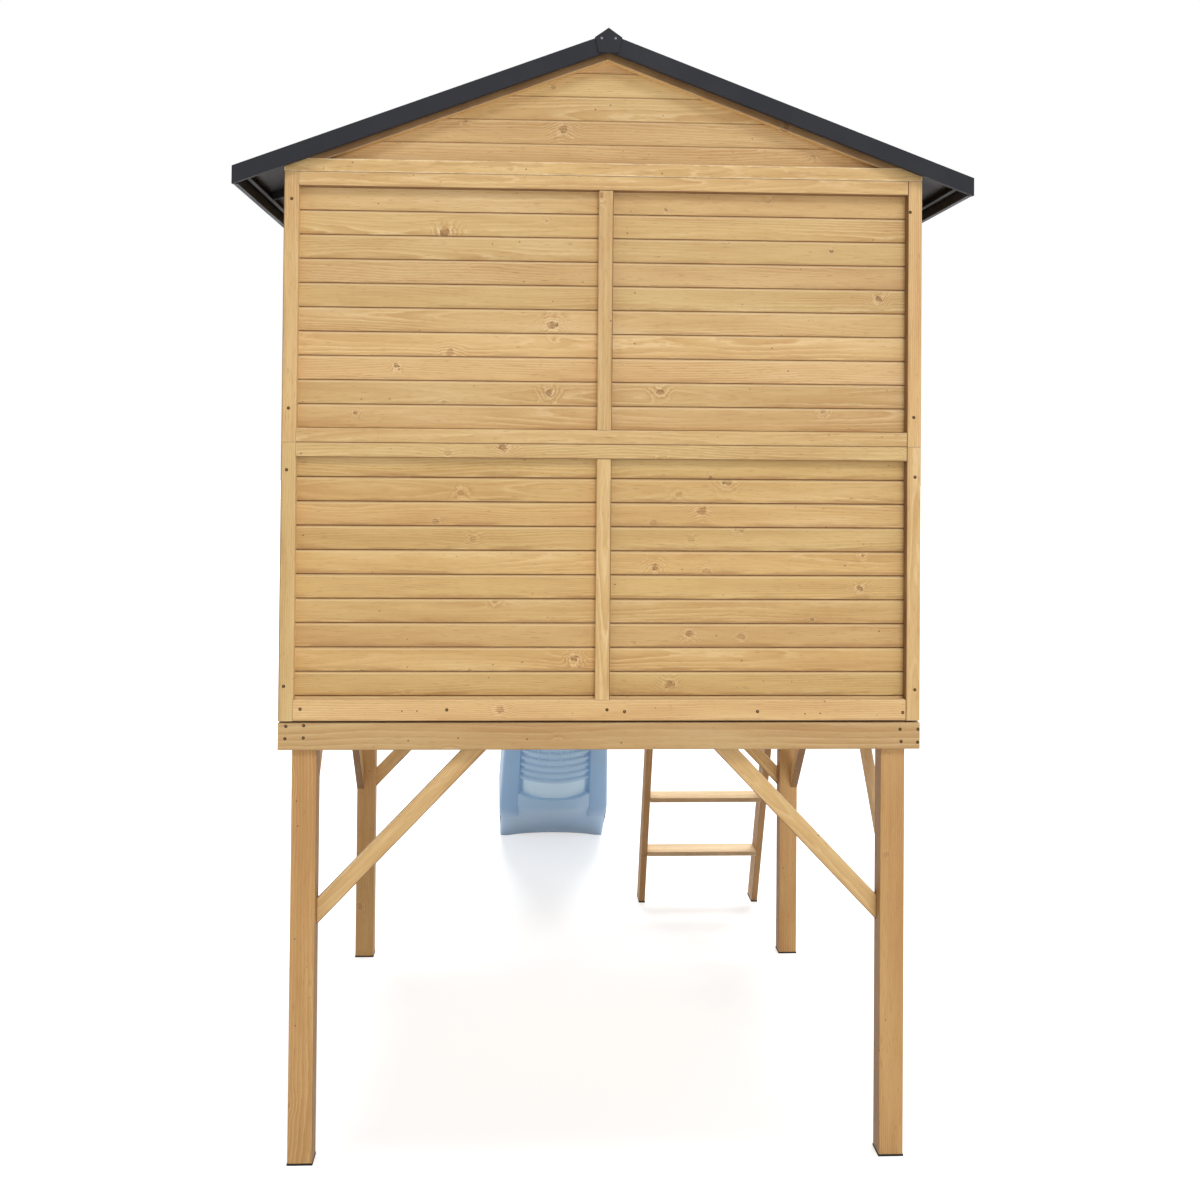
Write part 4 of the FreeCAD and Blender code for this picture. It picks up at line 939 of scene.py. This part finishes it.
        def outside(up, rise=0.0, lip=0.0):
            """Ring at a share of the height, then into the bed; the back has a lip up the slope."""
            ring = []
            for across, offset, share in loop:
                top_y = back + (front - back) * share
                bed_z, tilt = self.bed_at(top_y + drop * math.sin(self.slope) * (1 - share))
                top_z = back_z if share == 0 else bed_z - drop * math.cos(tilt)
                base_y, base_z = toe + (front - toe) * share, lower(across)
                dish = size.dish + (size.exit_dish - size.dish) * share
                lift, along = rise * (drop + into_bed(across, dish)), 0.0
                if share == 0:
                    near, along = min(1.0, abs(across) / pocket), lip * lip_at(across)
                    proud = size.lip_proud * (1 - near * near) * math.sqrt(up)
                    lift += (size.bed / 2 * near ** 8 * up - proud) * (1 - rise)
                y = base_y + (top_y - base_y) * up + offset - along * math.cos(tilt)
                z = base_z + (top_z - base_z) * up + along * math.sin(tilt)
                ring.append(self.at((y, z, tilt), across, lift))
            return ring

        def within(share):
            """Ring that comes back down from the lip inside the bed."""
            ring = outside(1.0, 1.0, 1.0)
            for number, (across, offset, side) in enumerate(loop):
                if side == offset == 0:
                    start = self.low[0] - lip_at(across) * math.cos(self.slope)
                    y = start + (toe - size.foot_setback - start) * share
                    lift = into_bed(across, size.dish)
                    ring[number] = self.at((y, *self.bed_at(y)), across, lift)
            return ring

        def inside(up):
            """Ring at a share of the height on the inner faces of the walls."""
            lean, ring = math.atan2(back_z, toe - back), []
            for across, offset, share in loop:
                z = lower(across) + (self.foot_ceiling - lower(across)) * up
                near = toe + size.foot_wall / math.sin(lean) - z / math.tan(lean)
                y = near + (front - size.foot_wall - near) * share + offset
                across *= (half - size.foot_wall) / half
                ring.append(Vector((self.middle + across, y, z)))
            return ring

        rings = [inside(up) for up in (1.0, 0.5, 0.04, 0.0)]
        rings += [outside(up) for up in (0.0, 0.01, 0.1, 0.3, 0.5, 0.7, 0.9, 0.98)]
        rings += [outside(1.0, 0.0, lip) for lip in (0.08, 0.3, 0.6, 0.9, 0.97)]
        rings += [outside(1.0, rise, 1.0) for rise in (0.02, 0.08, 0.2, 0.4, 0.7, 1.0)]
        rings += [within(share / 12) for share in range(1, 13)]
        # A little painted light through the back of the foot, none on its sides and front
        thin = [0.0 if side else 0.35 for across, offset, side in loop] * len(rings)
        return skin(rings, looped=True), thin


# Screws and nails


# Places on the back of a node, across from the middle and up from the floor, in millimetres
BACK_SCREWS = (
    ("rear_beam", (
        (-819, 1142), (-821, 1110), (-773, 1144), (-774, 1112),
        (787, 1132), (790, 1100), (835, 1132), (834, 1098))),
    ("rear_lower_frame", (
        (-825, 1805), (-826, 1245), (824, 1797), (826, 1236), (-783, 1186), (-405, 1184),
        (12, 1184), (58, 1179), (408, 1179), (794, 1176))),
    ("rear_upper_frame", ((-820, 2510), (-822, 1965), (808, 2500), (820, 1955))),
    ("post_front_left", ((-790, 655),)),
    ("post_front_right", ((790, 655),)),
)
RIDGE_SCREWS = (("ridge_end_caps", ((-18, 2935), (18, 2935))),)
BACK_NAILS = (
    ("rear_beam", ((-504, 1104), (-375, 1111), (-196, 1108), (50, 1098))),
    ("rear_lower_frame", ((-521, 1181), (-482, 1181), (534, 1173), (574, 1174))),
    ("rear_gable_frame", ((-212, 2597), (146, 2592))),
    ("rear_gable_boards", ((-30, 2764),)),
)
SCREW_INSET, RIDGE_SCREW_SHARE = 18 * MM, 0.8

# Rings of a head from its root to its crown, as shares of its radius out and up; its recess
HEAD_RINGS = ((1.0, -0.3), (1.0, 0.0), (0.96, 0.12), (0.82, 0.24), (0.6, 0.31))
HEAD_SIDES, RECESS_LEVELS = 24, (0.32, -0.1)


def on_surface(node, start, way):
    """Where a line from outside meets a frame node, and the way the surface faces there."""
    mesh = frame["nodes"][node].data
    tree = BVHTree.FromPolygons(
        [vertex.co for vertex in mesh.vertices], [list(face.vertices) for face in mesh.polygons])
    place, facing, *_ = tree.ray_cast(start, way)
    if place is None:
        raise RuntimeError(f"A fixing misses {node}")
    return place, facing


def behind(listed):
    """Places and facings of the fixings listed for the backs of nodes."""
    spots = []
    for node, places in listed:
        low, _ = limits_of(node)
        for across, up in places:
            start = Vector((across * MM, low.y - 0.1, up * MM))
            spots.append(on_surface(node, start, Vector((0.0, 1.0, 0.0))))
    return spots


def batten_ends(node, side):
    """Places near both ends of the battens of a side wall, on the outer face."""
    places = []
    for corners, _ in solids_of(node):
        low, high = map(Vector, span(corners))
        middle, long = (low + high) / 2, 1 if high.y - low.y > high.z - low.z else 2
        for end in (low[long] + SCREW_INSET, high[long] - SCREW_INSET):
            start = middle.copy()
            start[long] = end
            start.x = (high.x if side > 0 else low.x) + side * 0.1
            places.append(on_surface(node, start, Vector((-side, 0.0, 0.0))))
    return places


def fixing_head(place, facing, radius, recessed):
    """Domed head of a nail, or of a screw with a cross recess."""
    turn = facing.to_track_quat("Z", "Y").to_matrix()
    cross = [0.52 if number % 6 in (0, 1, 5) else 0.17 for number in range(HEAD_SIDES)]
    rings = [[ring] * HEAD_SIDES for ring in HEAD_RINGS]
    if recessed:
        rings += [[(reach, up) for reach in cross] for up in RECESS_LEVELS]
    angles = [math.tau * number / HEAD_SIDES for number in range(HEAD_SIDES)]
    return skin([[
        place + turn @ Vector((reach * math.cos(angle), reach * math.sin(angle), up)) * radius
        for angle, (reach, up) in zip(angles, ring)] for ring in rings])


# Operators


FLOOR_RADIUS, FLOOR_WHITE = 60.0, 0.64

# Each lamp with its tilt from overhead, its spread and its turn round from behind the camera
LAMPS = (
    ("key", 56, 14, 8),
    ("fill", 84, 30, 14),
    ("top", 7, 34, 160),
    ("far", 56, 30, 152),
)
SHARP_ANGLE = math.radians(40)


def seen(shading):
    """1 where the camera sees a surface, straight, in a gloss or through a pane."""
    path = shading.add("LightPath").outputs
    mirrored = shading.math("MAXIMUM", path["Is Glossy Ray"], path["Is Transmission Ray"])
    return shading.math("MAXIMUM", path["Is Camera Ray"], mirrored)


class PLAYHOUSE_OT_stage(bpy.types.Operator):
    """Make the pale floor, the soft lamps and the camera"""

    bl_idname = "playhouse.stage"
    bl_label = "Stage"

    def execute(self, context):
        stage = context.scene.playhouse_stage
        self.floor()
        self.sky(context, stage.sky_level)
        for name, *turns in LAMPS:
            self.lamp(name + "_lamp", getattr(stage, name + "_level"), *turns)
        self.camera(context, stage)
        context.scene.view_settings.view_transform = "Standard"
        return {"FINISHED"}

    @staticmethod
    def floor():
        shape = bmesh.new()
        bmesh.ops.create_circle(shape, cap_ends=True, segments=96, radius=FLOOR_RADIUS)
        material, shading, shader = new_material(
            "pale_floor", Roughness=0.9, Specular_IOR_Level=0.0)
        cloud = shading.noise(shading.add("TexCoord").outputs["Object"], 2.0, 3.0)
        tone = shading.blend(cloud, [0.66] * 3, [0.68] * 3)
        shading.feed(shader.inputs["Base Color"], tone)
        strength = shading.product(seen(shading), FLOOR_WHITE)
        white = shading.add("Emission", {"Strength": strength})
        both = shading.add("AddShader", {0: shader.outputs[0], 1: white.outputs[0]})
        output = shading.tree.nodes["Material Output"]
        shading.feed(output.inputs["Surface"], both.outputs[0])
        add_object("floor", join_shapes("floor", [shape]), material)

    @staticmethod
    def sky(context, level):
        world = bpy.data.worlds.new("studio")
        world.use_nodes = True
        context.scene.world = world
        shading = Shading(world.node_tree)
        sky = world.node_tree.nodes["Background"].inputs
        sky["Color"].default_value = (1.0, 1.0, 1.0, 1.0)
        shading.feed(sky["Strength"], shading.ramp(seen(shading), 0.0, 1.0, level, 1.0))

    @staticmethod
    def lamp(name, level, tilt, spread, turn):
        lamp = bpy.data.lights.new(name, "SUN")
        lamp.energy = level
        lamp.angle = math.radians(spread)
        holder = bpy.data.objects.new(name, lamp)
        bpy.context.scene.collection.objects.link(holder)
        lean = Matrix.Rotation(math.radians(tilt), 4, "X")
        holder.matrix_world = Matrix.Rotation(math.radians(turn), 4, "Z") @ lean

    @staticmethod
    def camera(context, stage):
        lens = bpy.data.cameras.new("camera")
        lens.lens, lens.sensor_width, lens.shift_y = stage.lens, 36.0, stage.camera_shift
        camera = bpy.data.objects.new("camera", lens)
        context.scene.collection.objects.link(camera)
        yaw, rise, roll = stage.camera_yaw, stage.camera_rise, stage.camera_roll
        ahead = Vector((
            math.sin(yaw) * math.cos(rise), math.cos(yaw) * math.cos(rise), math.sin(rise)))
        level = Vector((math.cos(yaw), -math.sin(yaw), 0.0))
        right = level * math.cos(roll) + level.cross(ahead) * math.sin(roll)
        turn = Matrix((right, right.cross(ahead), -ahead)).transposed().to_4x4()
        camera.matrix_world = Matrix.Translation(stage.camera_place) @ turn
        context.scene.camera = camera


class PLAYHOUSE_OT_platform(bpy.types.Operator):
    """Finish the legs, beams, joists, deck and braces"""

    bl_idname = "playhouse.platform"
    bl_label = "Platform"

    def execute(self, context):
        finish_timber(context, "beam", "rear_beam", "front_beam", "left_beam", "right_beam")
        finish_timber(
            context, "timber", "floor_joists", "rear_braces", "front_braces", "side_braces")
        finish_timber(
            context, "leg", "post_rear_left", "post_rear_right", "post_front_left",
            "post_front_right")
        finish_timber(context, "deck", "deck_boards")
        pads = moulding(
            "black_pad", context.scene.playhouse_finish.pad_black, grit_scale=500.0,
            grit_depth=0.0003, rough=0.8, wear=0.06, shine=0.3)
        width = context.scene.playhouse_sizes.steel_edge
        dress_mouldings(("foot_pads",), pads, "pad_black", width)
        return {"FINISHED"}


class PLAYHOUSE_OT_walls(bpy.types.Operator):
    """Finish the frames and boards of the four walls and the gables"""

    bl_idname = "playhouse.walls"
    bl_label = "Walls"

    def execute(self, context):
        finish_timber(
            context, "timber", "rear_lower_frame", "rear_upper_frame", "left_wall_frame",
            "right_wall_frame", "front_wall_frame", "front_gable_frame", "side_window_bars")
        finish_timber(context, "raking", "rear_gable_frame")
        finish_timber(
            context, "cladding", "rear_lower_boards", "left_wall_boards", "right_wall_boards",
            "front_wall_boards")
        finish_timber(context, "upper", "rear_upper_boards")
        finish_timber(context, "gable", "rear_gable_boards", "front_gable_boards")
        return {"FINISHED"}


class PLAYHOUSE_OT_door(bpy.types.Operator):
    """Finish the door with its ledges, pull, hinges and turn button"""

    bl_idname = "playhouse.door"
    bl_label = "Door"

    def execute(self, context):
        finish_timber(context, "timber", "door_ledges", "door_pull", "turn_button")
        finish_timber(context, "cladding", "door_boards")
        finish_steel(context, "door_hinge_fixed", "door_hinge_moving", "turn_button_screw")
        return {"FINISHED"}


class PLAYHOUSE_OT_windows(bpy.types.Operator):
    """Finish the hinged window and the panes of the fixed ones"""

    bl_idname = "playhouse.windows"
    bl_label = "Windows"

    def execute(self, context):
        finish_timber(context, "timber", "window_sash")
        finish_steel(context, "window_hinge_fixed", "window_hinge_moving")
        sheet = clear_sheet("clear_pane_sheet")
        for node in ("window_pane", "side_window_panes"):
            frame["nodes"][node].material_slots[0].material = sheet
        return {"FINISHED"}


class PLAYHOUSE_OT_verandah(bpy.types.Operator):
    """Finish the posts, headers, gable and balustrade of the verandah"""

    bl_idname = "playhouse.verandah"
    bl_label = "Verandah"

    def execute(self, context):
        finish_timber(
            context, "timber", "verandah_posts", "rail_posts", "verandah_headers",
            "verandah_gable_frame", "balustrade_rails", "balusters")
        return {"FINISHED"}


class PLAYHOUSE_OT_roof(bpy.types.Operator):
    """Finish the roof timbers, the dark panels, the trims and the ridge cap"""

    bl_idname = "playhouse.roof"
    bl_label = "Roof"

    def execute(self, context):
        finish_timber(context, "timber", "eave_plates", "ridge_beam", "purlins")
        dark = moulding(
            "roof_moulding", context.scene.playhouse_finish.roof_dark, grit_scale=420.0,
            grit_depth=0.0004, rough=0.55, shine=0.22)
        dress_mouldings(
            ("roof_panels_left", "roof_panels_right", "ridge_cap", "ridge_end_caps",
             "verge_trims", "eave_trims"),
            dark, "roof_dark", context.scene.playhouse_sizes.moulding_edge)
        return {"FINISHED"}


class PLAYHOUSE_OT_ladder(bpy.types.Operator):
    """Finish the rails and treads of the ladder"""

    bl_idname = "playhouse.ladder"
    bl_label = "Ladder"

    def execute(self, context):
        finish_timber(context, "leg", "ladder_rails")
        finish_timber(context, "tread", "ladder_treads")
        return {"FINISHED"}


class PLAYHOUSE_OT_slide(bpy.types.Operator):
    """Finish the moulded slide"""

    bl_idname = "playhouse.slide"
    bl_label = "Slide"

    def execute(self, context):
        finish = context.scene.playhouse_finish
        blue = moulding(
            "slide_moulding", finish.slide_blue, grit_scale=700.0, grit_depth=0.00012,
            rough=0.38, wear=0.02, thin=finish.slide_thin)
        slide = SlideShape(context.scene.playhouse_slide)
        pairs = [slide.shell(), slide.foot()]
        ribs = [slide.rib(number) for number in range(slide.rib_count)]
        ribs += [slide.bar(number) for number in range(slide.bar_count)]
        # The ribs take their own share of the painted light
        pairs += [(rib, [slide.rib_thin] * len(rib.verts)) for rib in ribs]
        shapes = [shape for shape, _ in pairs]
        values = [{"thin_wall": thin} for _, thin in pairs]
        mesh = replace_node("slide_chute", shapes, values, blue, "slide_blue")
        mesh.set_sharp_from_angle(angle=SHARP_ANGLE)
        return {"FINISHED"}


class PLAYHOUSE_OT_fixings(bpy.types.Operator):
    """Add the screws and nails that show"""

    bl_idname = "playhouse.fixings"
    bl_label = "Screws and nails"

    def execute(self, context):
        finish, sizes = context.scene.playhouse_finish, context.scene.playhouse_sizes
        screws = behind(BACK_SCREWS)
        screws += batten_ends("left_wall_frame", -1) + batten_ends("right_wall_frame", 1)
        heads = [fixing_head(*spot, sizes.screw_head, True) for spot in screws]
        heads += [fixing_head(*spot, sizes.nail_head, False) for spot in behind(BACK_NAILS)]
        radius = sizes.screw_head * RIDGE_SCREW_SHARE
        ridge_heads = [fixing_head(*spot, radius, True) for spot in behind(RIDGE_SCREWS)]
        for name, shapes, colour in (
                ("fixings", heads, finish.screw_steel),
                ("ridge_fixings", ridge_heads, finish.ridge_steel)):
            mesh = join_shapes(name, shapes)
            mesh.set_sharp_from_angle(angle=SHARP_ANGLE)
            piece = add_object(name, mesh, plated_steel(name + "_steel", colour, 0.5))
            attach(piece, "house")
        return {"FINISHED"}


class PLAYHOUSE_PT_panel(bpy.types.Panel):
    """Shows the settings of the playhouse and a button for each operator"""

    bl_idname = "PLAYHOUSE_PT_panel"
    bl_label = "Playhouse"
    bl_space_type = "VIEW_3D"
    bl_region_type = "UI"
    bl_category = "Playhouse"

    def draw(self, context):
        for name, _ in SETTINGS:
            group = getattr(context.scene, name)
            box = self.layout.box()
            for entry in group.bl_rna.properties.keys():
                if entry not in ("rna_type", "name"):
                    box.prop(group, entry)
        for operator in OPERATORS:
            self.layout.operator(operator.bl_idname)


SETTINGS = (
    ("playhouse_finish", PlayhouseFinish),
    ("playhouse_sizes", PlayhouseSizes),
    ("playhouse_slide", PlayhouseSlide),
    ("playhouse_stage", PlayhouseStage),
)
OPERATORS = (
    PLAYHOUSE_OT_stage,
    PLAYHOUSE_OT_platform,
    PLAYHOUSE_OT_walls,
    PLAYHOUSE_OT_door,
    PLAYHOUSE_OT_windows,
    PLAYHOUSE_OT_verandah,
    PLAYHOUSE_OT_roof,
    PLAYHOUSE_OT_ladder,
    PLAYHOUSE_OT_slide,
    PLAYHOUSE_OT_fixings,
)


def register():
    for name, group in SETTINGS:
        bpy.utils.register_class(group)
        setattr(bpy.types.Scene, name, bpy.props.PointerProperty(type=group))
    for made in (*OPERATORS, PLAYHOUSE_PT_panel):
        bpy.utils.register_class(made)


def unregister():
    for made in (PLAYHOUSE_PT_panel, *reversed(OPERATORS)):
        bpy.utils.unregister_class(made)
    for name, group in reversed(SETTINGS):
        delattr(bpy.types.Scene, name)
        bpy.utils.unregister_class(group)


def main():
    register()
    for operator in OPERATORS:
        group, name = operator.bl_idname.split(".")
        getattr(getattr(bpy.ops, group), name)()


if __name__ == "__main__":
    main()
